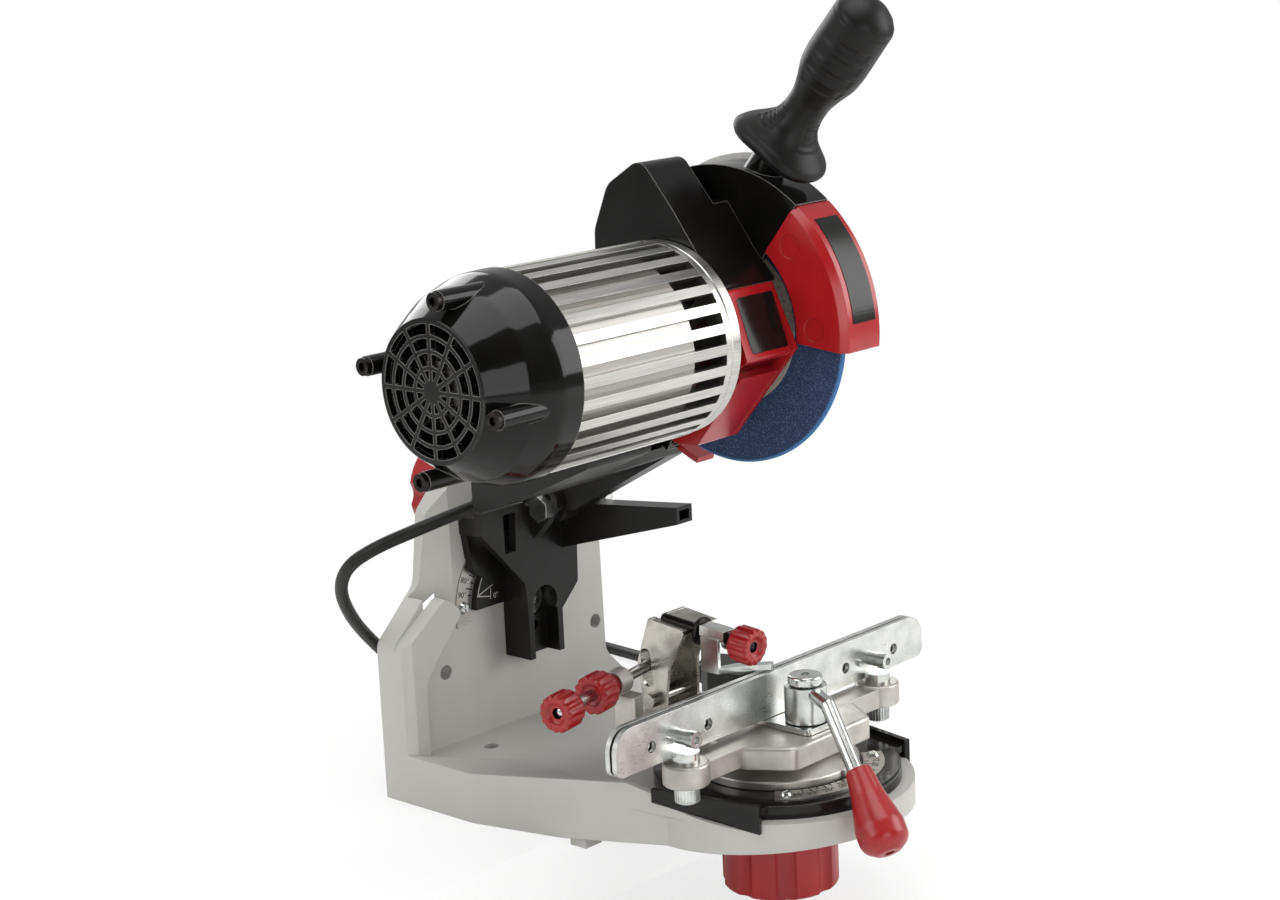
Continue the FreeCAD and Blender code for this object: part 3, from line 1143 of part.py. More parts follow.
def main():
    os.makedirs("parts", exist_ok=True)
    nodes = {
        "base_casting": base_casting(),
        "tilt_scale_plate": tilt_scale_plate(),
        "scale_screws": Part.makeCompound([tilt_scale_screw(), *vise_scale_screws()]),
        "vise_plate": vise_plate(),
        "vise_scale": vise_scale(),
        "tilt_bracket": tilt_bracket(),
        "tilt_pivot_bolt": tilt_pivot_bolt(),
        "tilt_lock_bolt": tilt_lock_bolt(),
        "tilt_lock_knob": tilt_lock_knob(),
        "hinge_bolt": hinge_bolt(),
        "return_spring": return_spring(),
        "head_arm": head_arm(),
        "depth_stop_screw": depth_stop_screw(),
        "head_screws": Part.makeCompound(foot_screws() + guard_screws()),
        "motor_housing": motor_housing(),
        "motor_end_cap": motor_end_cap(),
        "cap_bolts": cap_bolts(),
        "front_bell": front_bell(),
        "motor_bearings": motor_bearings(),
        "stator": stator(),
        "cooling_fan": cooling_fan(),
        "rotor_shaft": rotor_shaft(),
        "grinding_wheel": grinding_wheel(),
        "wheel_labels": wheel_labels(),
        "wheel_flanges": wheel_flanges(),
        "wheel_nut": wheel_nut(),
        "guard_body": guard_body(),
        "guard_front_cover": guard_front_cover(),
        "guard_side_plate": guard_side_plate(),
        "spark_tip": spark_tip(),
        "switch_block": switch_block(),
        "switch_rocker": switch_rocker(),
        "lamp_housing": lamp_housing(),
        "lamp_lens": lamp_lens(),
        "lamp_bulb": lamp_bulb(),
        "handle_grip": handle_grip(),
        "cord_gland": cord_gland(),
        "vise_body": vise_body(),
        "vise_pivot_bolt": vise_pivot_bolt(),
        "vise_lock_knob": vise_lock_knob(),
        "front_jaw": front_jaw(),
        "rear_jaw": rear_jaw(),
        "jaw_guide_screws": jaw_guide_screws(),
        "jaw_posts": jaw_posts(),
        "knurled_nut_left": knurled_nut(-1),
        "knurled_nut_right": knurled_nut(1),
        "clamp_slide": clamp_slide(),
        "clamp_pin": clamp_pin(),
        "clamp_hub": clamp_hub(),
        "lever_grip": lever_grip(),
        "stop_cross_rod": stop_cross_rod(),
        "stop_lock_knob": stop_lock_knob(),
        "stop_bracket": stop_bracket(),
        "stop_adjust_screw": stop_adjust_screw(),
        "stop_pawl": stop_pawl(),
        "cord_head": cord_tube(cord_head, "cord_head"),
        "cord_drop": cord_tube(cord_drop, "cord_drop"),
        "cord_tail": cord_tube(cord_tail, "cord_tail"),
        "cord_coil": cord_coil(),
        "cord_plug": cord_plug(),
    }
    for name, shape in nodes.items():
        save(name, shape)
    print(len(nodes), "nodes")


main()
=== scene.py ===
import bmesh
import bpy
import math
from mathutils import Matrix, Vector


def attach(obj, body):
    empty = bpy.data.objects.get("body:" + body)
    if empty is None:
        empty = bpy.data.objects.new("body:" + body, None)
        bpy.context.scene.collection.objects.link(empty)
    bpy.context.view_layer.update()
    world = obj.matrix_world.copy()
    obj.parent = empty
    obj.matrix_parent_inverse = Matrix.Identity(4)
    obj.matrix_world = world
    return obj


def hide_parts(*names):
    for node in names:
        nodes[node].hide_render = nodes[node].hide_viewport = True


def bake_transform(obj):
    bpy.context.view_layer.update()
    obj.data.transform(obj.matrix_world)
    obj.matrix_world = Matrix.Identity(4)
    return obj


# Electric chainsaw sharpener: a tilting grinding head over a swivelling chain vise. Metres, +Z up.

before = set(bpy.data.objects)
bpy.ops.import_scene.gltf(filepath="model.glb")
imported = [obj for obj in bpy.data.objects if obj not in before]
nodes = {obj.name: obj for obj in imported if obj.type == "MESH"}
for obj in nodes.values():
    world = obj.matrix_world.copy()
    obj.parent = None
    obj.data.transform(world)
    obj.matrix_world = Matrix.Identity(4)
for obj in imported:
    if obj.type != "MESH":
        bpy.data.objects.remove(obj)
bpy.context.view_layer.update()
mm = 0.001
X, Y, Z = Vector((1, 0, 0)), Vector((0, 1, 0)), Vector((0, 0, 1))
spindle = Vector((0, -0.146, 0.265))
# Distances from the spindle over which the painted shade in the troughs between the motor's fins gives way to
# the bright fin tops, and the wheel's rim turns bluer
fin_trough_painted_shade = (0.0450, 0.0488)
rim_shade = (0.0706, 0.0722)
# Millimetres: the vise's swivel axis and the height of the tilt axis
vise_y = -165.5
tilt_z = 94.0


# ---------------------------------------------------------------- camera
def aim_camera():
    """Camera to the left of the tool and in front of it, a little above, slightly rolled."""
    azimuth, elevation, roll = math.radians(-47.09), math.radians(12.44), math.radians(2.60)
    back = Vector((math.sin(azimuth) * math.cos(elevation), -math.cos(azimuth) * math.cos(elevation),
                   math.sin(elevation)))
    level = (-back).cross(Z).normalized()
    down = (-back).cross(level)
    right = math.cos(roll) * level + math.sin(roll) * down
    low = -math.sin(roll) * level + math.cos(roll) * down
    data = bpy.data.cameras.new("camera")
    data.lens = 70.786
    data.sensor_width = 36.0
    data.clip_start = 0.05
    camera = bpy.data.objects.new("camera", data)
    bpy.context.scene.collection.objects.link(camera)
    camera.matrix_world = Matrix((right, -low, back)).transposed().to_4x4()
    camera.location = (-0.95849, -0.96880, 0.47892)
    bpy.context.scene.camera = camera


aim_camera()


# ---------------------------------------------------------------- materials
# Specular level of every black finish: under half the default, as the blacks of this tool shine little
black_sheen = 0.24


def tint(code):
    """Linear colour of an sRGB hex value."""
    parts = [int(code[i:i + 2], 16) / 255 for i in (0, 2, 4)]
    return [c / 12.92 if c <= 0.04045 else ((c + 0.055) / 1.055) ** 2.4 for c in parts] + [1.0]


def put(tree, kind, links=None, **settings):
    """Adds a node, sets its properties, and sets or links its inputs."""
    made = tree.nodes.new("ShaderNode" + kind)
    for name, value in settings.items():
        setattr(made, name, value)
    for socket, value in (links or {}).items():
        if isinstance(value, bpy.types.NodeSocket):
            tree.links.new(value, made.inputs[socket])
        else:
            made.inputs[socket].default_value = value
    return made


def finish_named(name, **values):
    """New material with a Principled shader; returns it, its tree, the shader and the Object coordinates."""
    made = bpy.data.materials.new(name)
    made.use_nodes = True
    tree = made.node_tree
    tree.nodes.clear()
    shader = put(tree, "BsdfPrincipled")
    for socket, value in values.items():
        shader.inputs[socket.replace("_", " ")].default_value = value
    put(tree, "OutputMaterial", {"Surface": shader.outputs["BSDF"]})
    place = put(tree, "TexCoord").outputs["Object"]
    return made, tree, shader, place


def grain(tree, place, size, detail=2.0, stretch=(1, 1, 1)):
    """Noise whose lumps are about size metres across."""
    scaled = put(tree, "Mapping", {"Vector": place, "Scale": stretch}).outputs["Vector"]
    return put(tree, "TexNoise", {"Vector": scaled, "Scale": 1 / size, "Detail": detail}).outputs["Fac"]


def shades(tree, factor, *stops):
    """Colour ramp through (position, hex) stops."""
    ramp = put(tree, "ValToRGB", {"Fac": factor})
    ramp.color_ramp.elements[0].position = stops[0][0]
    ramp.color_ramp.elements[1].position = stops[-1][0]
    for position, code in stops[1:-1]:
        ramp.color_ramp.elements.new(position)
    for element, (position, code) in zip(ramp.color_ramp.elements, stops):
        element.position = position
        element.color = tint(code)
    return ramp.outputs["Color"]


def span(tree, value, low, high):
    """Maps a 0 to 1 pattern to the range low to high."""
    return put(tree, "MapRange", {"Value": value, "To Min": low, "To Max": high}).outputs["Result"]


def colour(tree, shader, socket):
    """Takes the base colour of a finish from a socket."""
    tree.links.new(socket, shader.inputs["Base Color"])


def uneven(tree, shader, pattern, low, high):
    """Lets the roughness of a finish follow a pattern between two values."""
    tree.links.new(span(tree, pattern, low, high), shader.inputs["Roughness"])


def from_spindle(tree, place):
    """Distance in metres from the spindle's axis."""
    flat = put(tree, "VectorMath", {0: place, 1: (0.0, 1.0, 1.0)}, operation="MULTIPLY").outputs["Vector"]
    links = {0: flat, 1: (0.0, spindle.y, spindle.z)}
    return put(tree, "VectorMath", links, operation="DISTANCE").outputs["Value"]


def relief(tree, shader, height, depth, edge=0.0):
    """Bump of that depth in metres on edges rounded by edge metres."""
    links = {"Height": height, "Distance": depth, "Strength": 1.0}
    if edge:
        links["Normal"] = put(tree, "Bevel", {"Radius": edge}, samples=4).outputs["Normal"]
    bump = put(tree, "Bump", links)
    tree.links.new(bump.outputs["Normal"], shader.inputs["Normal"])


def worn(tree, edge, low=0.02, high=0.2):
    """Mask of the painted edge highlight: 1 on sharp outer edges and 0 on flats, from how far a rounded
    normal leaves the true one.
    """
    softened = put(tree, "Bevel", {"Radius": edge}, samples=4).outputs["Normal"]
    true = put(tree, "NewGeometry").outputs["True Normal"]
    match = put(tree, "VectorMath", {0: softened, 1: true}, operation="DOT_PRODUCT").outputs["Value"]
    limits = {"Value": match, "From Min": 1 - low, "From Max": 1 - high}
    return put(tree, "MapRange", limits).outputs["Result"]


def blended(tree, factor, first, second):
    """Colour that goes from the first to the second as the factor rises from 0 to 1."""
    mix = put(tree, "Mix", {"Factor": factor, 6: first, 7: second}, data_type="RGBA")
    return mix.outputs[2]


def rub_edges(tree, shader, edge, code):
    """Paints a pale highlight colour on the sharp outer edges of a finished material."""
    flat = shader.inputs["Base Color"].links[0].from_socket
    colour(tree, shader, blended(tree, worn(tree, edge), flat, tint(code)))


def powder_coat():
    # Powder coat on die-cast aluminium: warm light grey, fine orange peel, soft sheen
    made, tree, shader, place = finish_named("powder_coat_grey", Roughness=0.46, IOR=1.5)
    colour(tree, shader, shades(tree, grain(tree, place, 60 * mm, 3), (0.3, "ABAAA5"), (0.7, "B3B2AD")))
    peel = grain(tree, place, 1.4 * mm, 3)
    uneven(tree, shader, peel, 0.40, 0.54)
    relief(tree, shader, peel, 0.035 * mm, 0.7 * mm)
    return made


def black_moulding(name, code, rough, edge, ripple=0.02):
    # Injection-moulded ABS in black: slight sink waves, and crisp pale highlights painted along its edges
    made, tree, shader, place = finish_named(name, Roughness=rough, IOR=1.5)
    shader.inputs["Specular IOR Level"].default_value = black_sheen
    smears = grain(tree, place, 22 * mm, 3)
    uneven(tree, shader, smears, rough * 0.8, rough * 1.35)
    colour(tree, shader, shades(tree, smears, (0.2, code), (0.9, "141312")))
    relief(tree, shader, grain(tree, place, 9 * mm, 1), ripple * mm, edge * mm)
    # Painted highlight: a pale colour on the sharp edges stands in for the light they catch
    rub_edges(tree, shader, 0.8 * mm, "8F8C88")
    return made


def black_enamel(name, rough, texture):
    # Black enamel on pressed or cast metal: satin, with a fine pebble
    made, tree, shader, place = finish_named(name, Roughness=rough, IOR=1.5)
    shader.inputs["Specular IOR Level"].default_value = black_sheen
    pebble = grain(tree, place, texture * mm, 2)
    colour(tree, shader, shades(tree, grain(tree, place, 30 * mm, 3), (0.25, "131211"), (0.75, "1C1A19")))
    uneven(tree, shader, pebble, rough * 0.85, rough * 1.2)
    relief(tree, shader, pebble, 0.03 * mm, 0.5 * mm)
    return made


def red_moulding(name, code, deep, rough, edge):
    # Red ABS, moulded and lightly polished: even colour, a soft highlight, faint flow marks
    made, tree, shader, place = finish_named(name, Roughness=rough, IOR=1.5)
    flow = grain(tree, place, 16 * mm, 3, (1, 1, 0.4))
    colour(tree, shader, shades(tree, flow, (0.25, deep), (0.75, code)))
    uneven(tree, shader, flow, rough * 0.85, rough * 1.25)
    relief(tree, shader, grain(tree, place, 1.1 * mm, 1), 0.008 * mm, edge * mm)
    return made


def extruded_aluminium():
    # Extruded aluminium, mill finish: die lines run along the motor; shade is painted into the troughs
    # between the fins, so the colour is brighter from fin root to fin top
    made, tree, shader, place = finish_named("extruded_aluminium", Metallic=1.0, Roughness=0.3)
    lines = grain(tree, place, 0.5 * mm, 2, (0.015, 1, 1))
    bright = shades(tree, lines, (0.3, "B0AFAB"), (0.7, "CBCAC6"))
    # Painted shade: a darker colour in the troughs between the fins, fading out towards the fin tops
    limits = {"Value": from_spindle(tree, place), "From Min": fin_trough_painted_shade[0], "From Max": fin_trough_painted_shade[1]}
    top = put(tree, "MapRange", limits).outputs["Result"]
    colour(tree, shader, blended(tree, top, tint("8F8D89"), bright))
    uneven(tree, shader, lines, 0.22, 0.4)
    relief(tree, shader, lines, 0.02 * mm, 0.3 * mm)
    return made


def cast_aluminium():
    # Tumbled die-cast aluminium, unpainted: soft grey, faint cloudiness and a fine tooth
    made, tree, shader, place = finish_named("tumbled_cast_aluminium", Metallic=1.0, Roughness=0.42)
    clouds = grain(tree, place, 14 * mm, 4)
    colour(tree, shader, shades(tree, clouds, (0.25, "A9A59F"), (0.75, "CCC8C2")))
    tooth = grain(tree, place, 0.6 * mm, 3)
    uneven(tree, shader, tooth, 0.36, 0.52)
    relief(tree, shader, tooth, 0.03 * mm, 0.9 * mm)
    return made


def zinc_plate(name, code, dull, rough):
    # Bright zinc plating on steel: pale with a cool cast, blotched where the bath left it duller
    made, tree, shader, place = finish_named(name, Metallic=1.0, Roughness=rough)
    blotch = grain(tree, place, 11 * mm, 5)
    colour(tree, shader, shades(tree, blotch, (0.3, dull), (0.62, code)))
    rolled = grain(tree, place, 0.7 * mm, 3, (0.2, 1, 1))
    uneven(tree, shader, rolled, rough * 0.75, rough * 1.4)
    relief(tree, shader, rolled, 0.008 * mm, 0.35 * mm)
    return made


def scale_aluminium():
    # Brushed aluminium strip of the scales: short fine scratches across a pale ground
    made, tree, shader, place = finish_named("brushed_scale_strip", Metallic=1.0, Roughness=0.38)
    scratch = grain(tree, place, 0.35 * mm, 2, (0.1, 1, 1))
    colour(tree, shader, shades(tree, scratch, (0.3, "A29F9A"), (0.7, "BCB9B3")))
    relief(tree, shader, scratch, 0.006 * mm)
    return made


def abrasive():
    # Vitrified aluminium oxide in navy: dead matt, bluer towards the rim. Its open grit is about 0.4 mm
    # across and is drawn 0.9 mm, because finer grains wouldn't show
    made, tree, shader, place = finish_named("navy_abrasive", Roughness=0.95, IOR=1.5)
    shader.inputs["Specular IOR Level"].default_value = 0.25
    cells = put(tree, "TexVoronoi", {"Vector": place, "Scale": 1 / (0.9 * mm)}).outputs["Distance"]
    grit = shades(tree, cells, (0.0, "1D2840"), (0.5, "30405F"), (0.95, "4A5E80"))
    limits = {"Value": from_spindle(tree, place), "From Min": rim_shade[0], "From Max": rim_shade[1]}
    rim = put(tree, "MapRange", limits).outputs["Result"]
    colour(tree, shader, blended(tree, rim, grit, tint("4877A6")))
    relief(tree, shader, cells, 0.12 * mm)
    return made


def pressed_card():
    # Pressed paper washer of the wheel: mottled grey beige
    made, tree, shader, place = finish_named("pressed_card", Roughness=0.85)
    fibres = grain(tree, place, 2.2 * mm, 5)
    colour(tree, shader, shades(tree, fibres, (0.3, "8F867B"), (0.7, "B3AA9E")))
    relief(tree, shader, fibres, 0.04 * mm)
    return made


def cord_rubber():
    # PVC flex: black, dull, with a faint bloom
    made, tree, shader, place = finish_named("black_flex", Roughness=0.45, IOR=1.52)
    shader.inputs["Specular IOR Level"].default_value = black_sheen
    bloom = grain(tree, place, 7 * mm, 3)
    colour(tree, shader, shades(tree, bloom, (0.25, "0F0E0D"), (0.8, "1B1A18")))
    relief(tree, shader, grain(tree, place, 1.2 * mm, 1), 0.015 * mm, 0.4 * mm)
    return made


def grip_polymer():
    # Textured polypropylene of the handle: black, satin, a fine spark-eroded skin
    made, tree, shader, place = finish_named("satin_polypropylene", Roughness=0.4, IOR=1.49)
    skin = grain(tree, place, 0.7 * mm, 2)
    shader.inputs["Specular IOR Level"].default_value = black_sheen
    colour(tree, shader, shades(tree, grain(tree, place, 18 * mm, 3), (0.25, "0D0C0B"), (0.75, "141211")))
    uneven(tree, shader, skin, 0.34, 0.5)
    relief(tree, shader, skin, 0.02 * mm, 0.5 * mm)
    return made


def clear_moulding():
    # Clear polycarbonate of the lamp window: faint tint, moulded ripples
    made, tree, shader, place = finish_named("clear_polycarbonate", Roughness=0.06, IOR=1.58)
    shader.inputs["Transmission Weight"].default_value = 1.0
    shader.inputs["Base Color"].default_value = tint("F3F1EE")
    relief(tree, shader, grain(tree, place, 5 * mm, 1), 0.15 * mm)
    return made


def bulb_glass():
    # Small frosted bulb in a white ceramic socket
    made, tree, shader, place = finish_named("frosted_bulb", Roughness=0.35, IOR=1.5)
    colour(tree, shader, shades(tree, grain(tree, place, 6 * mm, 2), (0.3, "DAD7CE"), (0.7, "EEEBE3")))
    return made


def machined_steel(name, code, dull):
    # Laminations, bearings and shaft: turned steel with fine rings
    made, tree, shader, place = finish_named(name, Metallic=1.0, Roughness=0.35)
    rings = grain(tree, place, 0.6 * mm, 2, (1, 0.2, 0.2))
    colour(tree, shader, shades(tree, rings, (0.3, dull), (0.7, code)))
    uneven(tree, shader, rings, 0.28, 0.45)
    return made


def printed(name, code, rough=0.6):
    # Screen-printed ink or a thin vinyl label: flat colour with a slightly uneven coat
    made, tree, shader, place = finish_named(name, Roughness=rough)
    shader.inputs["Specular IOR Level"].default_value = black_sheen
    coat = grain(tree, place, 3 * mm, 3)
    low = "".join("%02X" % max(0, int(code[i:i + 2], 16) - 10) for i in (0, 2, 4))
    colour(tree, shader, shades(tree, coat, (0.3, low), (0.7, code)))
    return made


coat = powder_coat()
cap_black = black_moulding("black_abs_gloss", "080807", 0.09, 0.7)
block_black = black_moulding("black_abs_semigloss", "0D0C0B", 0.22, 0.6)
plate_black = black_enamel("black_enamel_satin", 0.32, 0.9)
arm_black = black_enamel("black_enamel_cast", 0.36, 0.8)
gloss_black = black_enamel("black_enamel_gloss", 0.12, 2.5)
guard_red = red_moulding("red_abs", "A3171C", "921217", 0.22, 0.6)
knob_red = red_moulding("red_abs_knob", "9E1519", "8A1013", 0.3, 0.5)
fins = extruded_aluminium()
cast = cast_aluminium()
zinc = zinc_plate("bright_zinc", "D2D4D1", "A9ACA8", 0.2)
zinc_flat = zinc_plate("zinc_sheet", "D8D9D7", "BDBFBB", 0.28)
bent_sheet = zinc_plate("zinc_sheet_dull", "BDB9B1", "8E8A83", 0.26)
strip = scale_aluminium()
grit_navy = abrasive()
card = pressed_card()
flex = cord_rubber()
grip = grip_polymer()
clear = clear_moulding()
bulb = bulb_glass()
steel = machined_steel("turned_steel", "B8B5B0", "8F8C87")
dark_steel = machined_steel("black_oxide_steel", "3A3735", "211F1E")
ink = printed("scale_ink", "141312")
pale_ink = printed("pale_ink", "B9B7B3")
light_paint = printed("light_grey_enamel", "C9C8C5", 0.35)
label_dark = printed("label_vinyl_dark", "1B1A18", 0.2)
label_grey = printed("label_vinyl_grey", "A9A8A4", 0.3)

worn_by = {
    coat: ["base_casting"],
    plate_black: ["tilt_bracket"],
    gloss_black: ["vise_plate"],
    arm_black: ["head_arm"],
    cap_black: ["motor_end_cap", "guard_body"],
    block_black: ["switch_block", "switch_rocker"],
    guard_red: ["guard_front_cover", "lamp_housing", "spark_tip"],
    knob_red: ["tilt_lock_knob", "vise_lock_knob", "stop_lock_knob", "lever_grip"],
    fins: ["motor_housing", "front_bell"],
    cast: ["vise_body"],
    bent_sheet: ["stop_bracket"],
    strip: ["tilt_scale_plate", "vise_scale"],
    zinc: ["scale_screws", "tilt_pivot_bolt", "tilt_lock_bolt", "hinge_bolt", "return_spring", "head_screws",
           "vise_pivot_bolt", "jaw_guide_screws", "jaw_posts", "clamp_pin", "clamp_slide", "clamp_hub",
           "knurled_nut_left", "knurled_nut_right", "stop_pawl", "wheel_flanges", "wheel_nut",
           "stop_cross_rod", "stop_adjust_screw", "depth_stop_screw"],
    zinc_flat: ["front_jaw", "rear_jaw"],
    steel: ["motor_bearings", "stator", "rotor_shaft"],
    dark_steel: ["cap_bolts"],
    grip: ["handle_grip", "cooling_fan"],
    grit_navy: ["grinding_wheel"],
    card: ["wheel_labels"],
    clear: ["lamp_lens"],
    bulb: ["lamp_bulb"],
    flex: ["cord_head", "cord_drop", "cord_coil", "cord_tail", "cord_plug", "cord_gland"],
    light_paint: ["guard_side_plate"],
}
for finish, names in worn_by.items():
    for name in names:
        nodes[name].data.materials.clear()
        nodes[name].data.materials.append(finish)


# ---------------------------------------------------------------- making pieces
def piece(name, mesh, finish, body, smooth=True):
    """Object from a bmesh, with its finish, riding on a body."""
    data = bpy.data.meshes.new(name)
    bmesh.ops.recalc_face_normals(mesh, faces=mesh.faces)
    mesh.to_mesh(data)
    mesh.free()
    if smooth:
        data.shade_smooth()
    data.materials.append(finish)
    made = bpy.data.objects.new(name, data)
    bpy.context.scene.collection.objects.link(made)
    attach(made, body)
    return made


# ---------------------------------------------------------------- shaping
def slab(points, thickness, edge=0.0):
    """Flat plate through (u, v) points in millimetres, thickness up from its plane, edges rounded."""
    mesh = bmesh.new()
    mesh.faces.new([mesh.verts.new((u * mm, v * mm, 0)) for u, v in points])
    risen = bmesh.ops.extrude_face_region(mesh, geom=mesh.faces[:])["geom"]
    top = [g for g in risen if isinstance(g, bmesh.types.BMVert)]
    bmesh.ops.translate(mesh, vec=(0, 0, thickness * mm), verts=top)
    bmesh.ops.recalc_face_normals(mesh, faces=mesh.faces)
    if edge:
        bmesh.ops.bevel(mesh, geom=mesh.edges[:], offset=edge * mm, affect="EDGES", segments=2,
                        profile=0.5, material=-1)
    return mesh


def rounded(width, height, radius, steps=5):
    """Corner points of a rectangle with round corners, centred on the origin."""
    points = []
    half_u, half_v = width / 2 - radius, height / 2 - radius
    for cx, cy, start in ((1, 1, 0), (-1, 1, 90), (-1, -1, 180), (1, -1, 270)):
        for k in range(steps + 1):
            a = math.radians(start + 90 * k / steps)
            points.append((cx * half_u + radius * math.cos(a), cy * half_v + radius * math.sin(a)))
    return points


def lathe(profile, steps=48):
    """Body turned round Z from (r, h) points in millimetres."""
    mesh = bmesh.new()
    line = [mesh.verts.new((r * mm, 0, h * mm)) for r, h in profile]
    runs = [mesh.edges.new(pair) for pair in zip(line, line[1:])]
    bmesh.ops.spin(mesh, geom=line + runs, cent=(0, 0, 0), axis=Z, angle=math.tau, steps=steps,
                   use_merge=True)
    bmesh.ops.remove_doubles(mesh, verts=mesh.verts, dist=1e-6)
    bmesh.ops.dissolve_degenerate(mesh, dist=1e-6, edges=mesh.edges)
    return mesh


def laid(mesh, at, up, normal):
    """Puts a mesh's origin at a point in millimetres, its Y up and its Z along the normal."""
    normal = Vector(normal).normalized()
    across = Vector(up).cross(normal).normalized()
    basis = Matrix((across, normal.cross(across), normal)).transposed().to_4x4()
    bmesh.ops.transform(mesh, matrix=Matrix.Translation(Vector(at) * mm) @ basis, verts=mesh.verts)
    return mesh


def along(mesh, at, direction):
    """As laid, where only the direction of Z matters."""
    return laid(mesh, at, Vector(direction).orthogonal(), direction)


def gathered(meshes):
    """One mesh of several."""
    whole = bmesh.new()
    for mesh in meshes:
        data = bpy.data.meshes.new("part")
        mesh.to_mesh(data)
        mesh.free()
        whole.from_mesh(data)
        bpy.data.meshes.remove(data)
    return whole


def solid_of(holder):
    """Mesh of a text or curve object."""
    bpy.context.view_layer.update()
    return bpy.data.meshes.new_from_object(holder.evaluated_get(bpy.context.evaluated_depsgraph_get()))


def figures(text, size):
    """Printed figures about a twentieth of a millimetre thick, centred on the origin."""
    data = bpy.data.curves.new("figures", "FONT")
    data.body = text
    data.size = size * mm
    data.extrude = 0.03 * mm
    data.resolution_u = 3
    data.align_x = "CENTER"
    data.align_y = "CENTER"
    holder = bpy.data.objects.new("figures", data)
    bpy.context.scene.collection.objects.link(holder)
    mesh = bmesh.new()
    mesh.from_mesh(solid_of(holder))
    bpy.data.objects.remove(holder)
    return mesh


ink_depth = 0.05


def stroke(width, start, end):
    """Printed line from a start to an end height on the Y axis."""
    half = width / 2
    return slab([(-half, start), (half, start), (half, end), (-half, end)], ink_depth)


def line_between(width, start, end):
    """Printed line between two (u, v) points."""
    run = Vector((end[0] - start[0], end[1] - start[1]))
    side = Vector((-run.y, run.x)).normalized() * width / 2
    return slab([(start[0] + side.x, start[1] + side.y), (start[0] - side.x, start[1] - side.y),
                 (end[0] - side.x, end[1] - side.y), (end[0] + side.x, end[1] + side.y)], ink_depth)


# ---------------------------------------------------------------- scales
def round_tilt(radius, degrees):
    """Millimetres to the left of the tilt axis and above it, at an angle that rises from the left."""
    a = math.radians(degrees)
    return radius * math.cos(a), radius * math.sin(a)


def tilt_marks():
    """Graduation of the tilt scale: figures every ten degrees, long and short strokes."""
    face_y, first = 19.17, 14
    inner, long_end, short_end, figure_at = 39.7, 42.2, 44.6, 46.6
    last_stroke, last_figure = 45, 42
    marks = []
    for k, text in enumerate(("90°", "80°", "70°", "60°")):
        ten = first + 10 * k
        for degrees, reach in ((ten, long_end), (ten + 5, short_end)):
            if degrees < last_stroke:
                left, up = round_tilt(1, degrees)
                marks.append(laid(stroke(0.7, inner, reach), (0, face_y, tilt_z), (-left, 0, up), -Y))
        if ten < last_figure:
            left, up = round_tilt(figure_at, ten)
            level, rise = round_tilt(1, ten)
            marks.append(laid(figures(text, 4.6), (-left, face_y, tilt_z + up), (rise, 0, level), -Y))
    piece("tilt_scale_marks", gathered(marks), ink, "base", smooth=False)


def pointer_marks():
    """Pale lines and figures on the pointer sector of the tilting bracket."""
    face_y, arc_r = 15.68, 37.9
    tip = (-37.2, 9.2)
    arc = [(-left, up) for left, up in (round_tilt(arc_r, degrees) for degrees in range(15, 42, 3))]
    marks = [line_between(0.5, tip, (-27.6, 7.2)), line_between(0.5, tip, (-25.0, 13.4)),
             line_between(0.4, (-27.2, 5.6), (-26.6, 11.6))]
    marks += [line_between(0.5, a, b) for a, b in zip(arc, arc[1:])]
    marks = [laid(mark, (0, face_y, tilt_z), Z, -Y) for mark in marks]
    for text, x, z in (("0°", -22.9, 100.7), ("10°", -20.8, 108.0)):
        marks.append(laid(figures(text, 4.4), (x, face_y, z), Z, -Y))
    piece("pointer_marks", gathered(marks), pale_ink, "tilt_head", smooth=False)


def vise_marks():
    """Graduation of the vise scale: a stroke every five degrees and figures every ten."""
    face_z, inner, short_end, long_end, figure_at = 33.82, 45.3, 47.8, 49.2, 51.8
    end, end_shift = 35, 0.06
    marks = []
    for degrees in range(-end, end + 1, 5):
        a = math.radians(degrees)
        inward = (-math.sin(a), math.cos(a), 0)
        outer = long_end if degrees % 10 == 0 else short_end
        marks.append(laid(stroke(0.8, -outer, -inner), (0, vise_y, face_z), inward, Z))
        if degrees % 10 == 0 or abs(degrees) == end:
            around = a + (math.copysign(end_shift, degrees) if abs(degrees) == end else 0)
            at = (figure_at * math.sin(around), vise_y - figure_at * math.cos(around), face_z)
            marks.append(laid(figures(str(abs(degrees)) + "°", 5.0), at, inward, Z))
    piece("vise_scale_marks", gathered(marks), ink, "base", smooth=False)


tilt_marks()
pointer_marks()
vise_marks()


# ---------------------------------------------------------------- labels, all bare
def lamp_label():
    """Bare dark label on the sloping front of the lamp housing."""
    slope = Vector((0, 0.333, 0.943))
    outward = (0, -slope.z, slope.y)
    label = laid(slab(rounded(28, 28.5, 2), 0.25, 0.08), (-28, -189.15, 272.5), slope, outward)
    piece("lamp_label", label, label_dark, "head")


def guard_label():
    """Bare dark strip along the rim of the front cover."""
    left, right, inner, outer = -3.2, 14.2, 79.9, 80.3
    first, sweep = math.radians(4), math.radians(40)
    mesh = bmesh.new()
    corners = [mesh.verts.new(spindle + Vector((x, -r * math.cos(first), r * math.sin(first))) * mm)
               for x, r in ((left, inner), (right, inner), (right, outer), (left, outer))]
    loop = [mesh.edges.new((corners[k - 1], corners[k])) for k in range(4)]
    bmesh.ops.spin(mesh, geom=corners + loop, cent=spindle, axis=-X, angle=sweep, steps=30)
    bmesh.ops.holes_fill(mesh, edges=[e for e in mesh.edges if e.is_boundary], sides=4)
    piece("guard_label", mesh, label_dark, "head", smooth=False)


lamp_label()
guard_label()


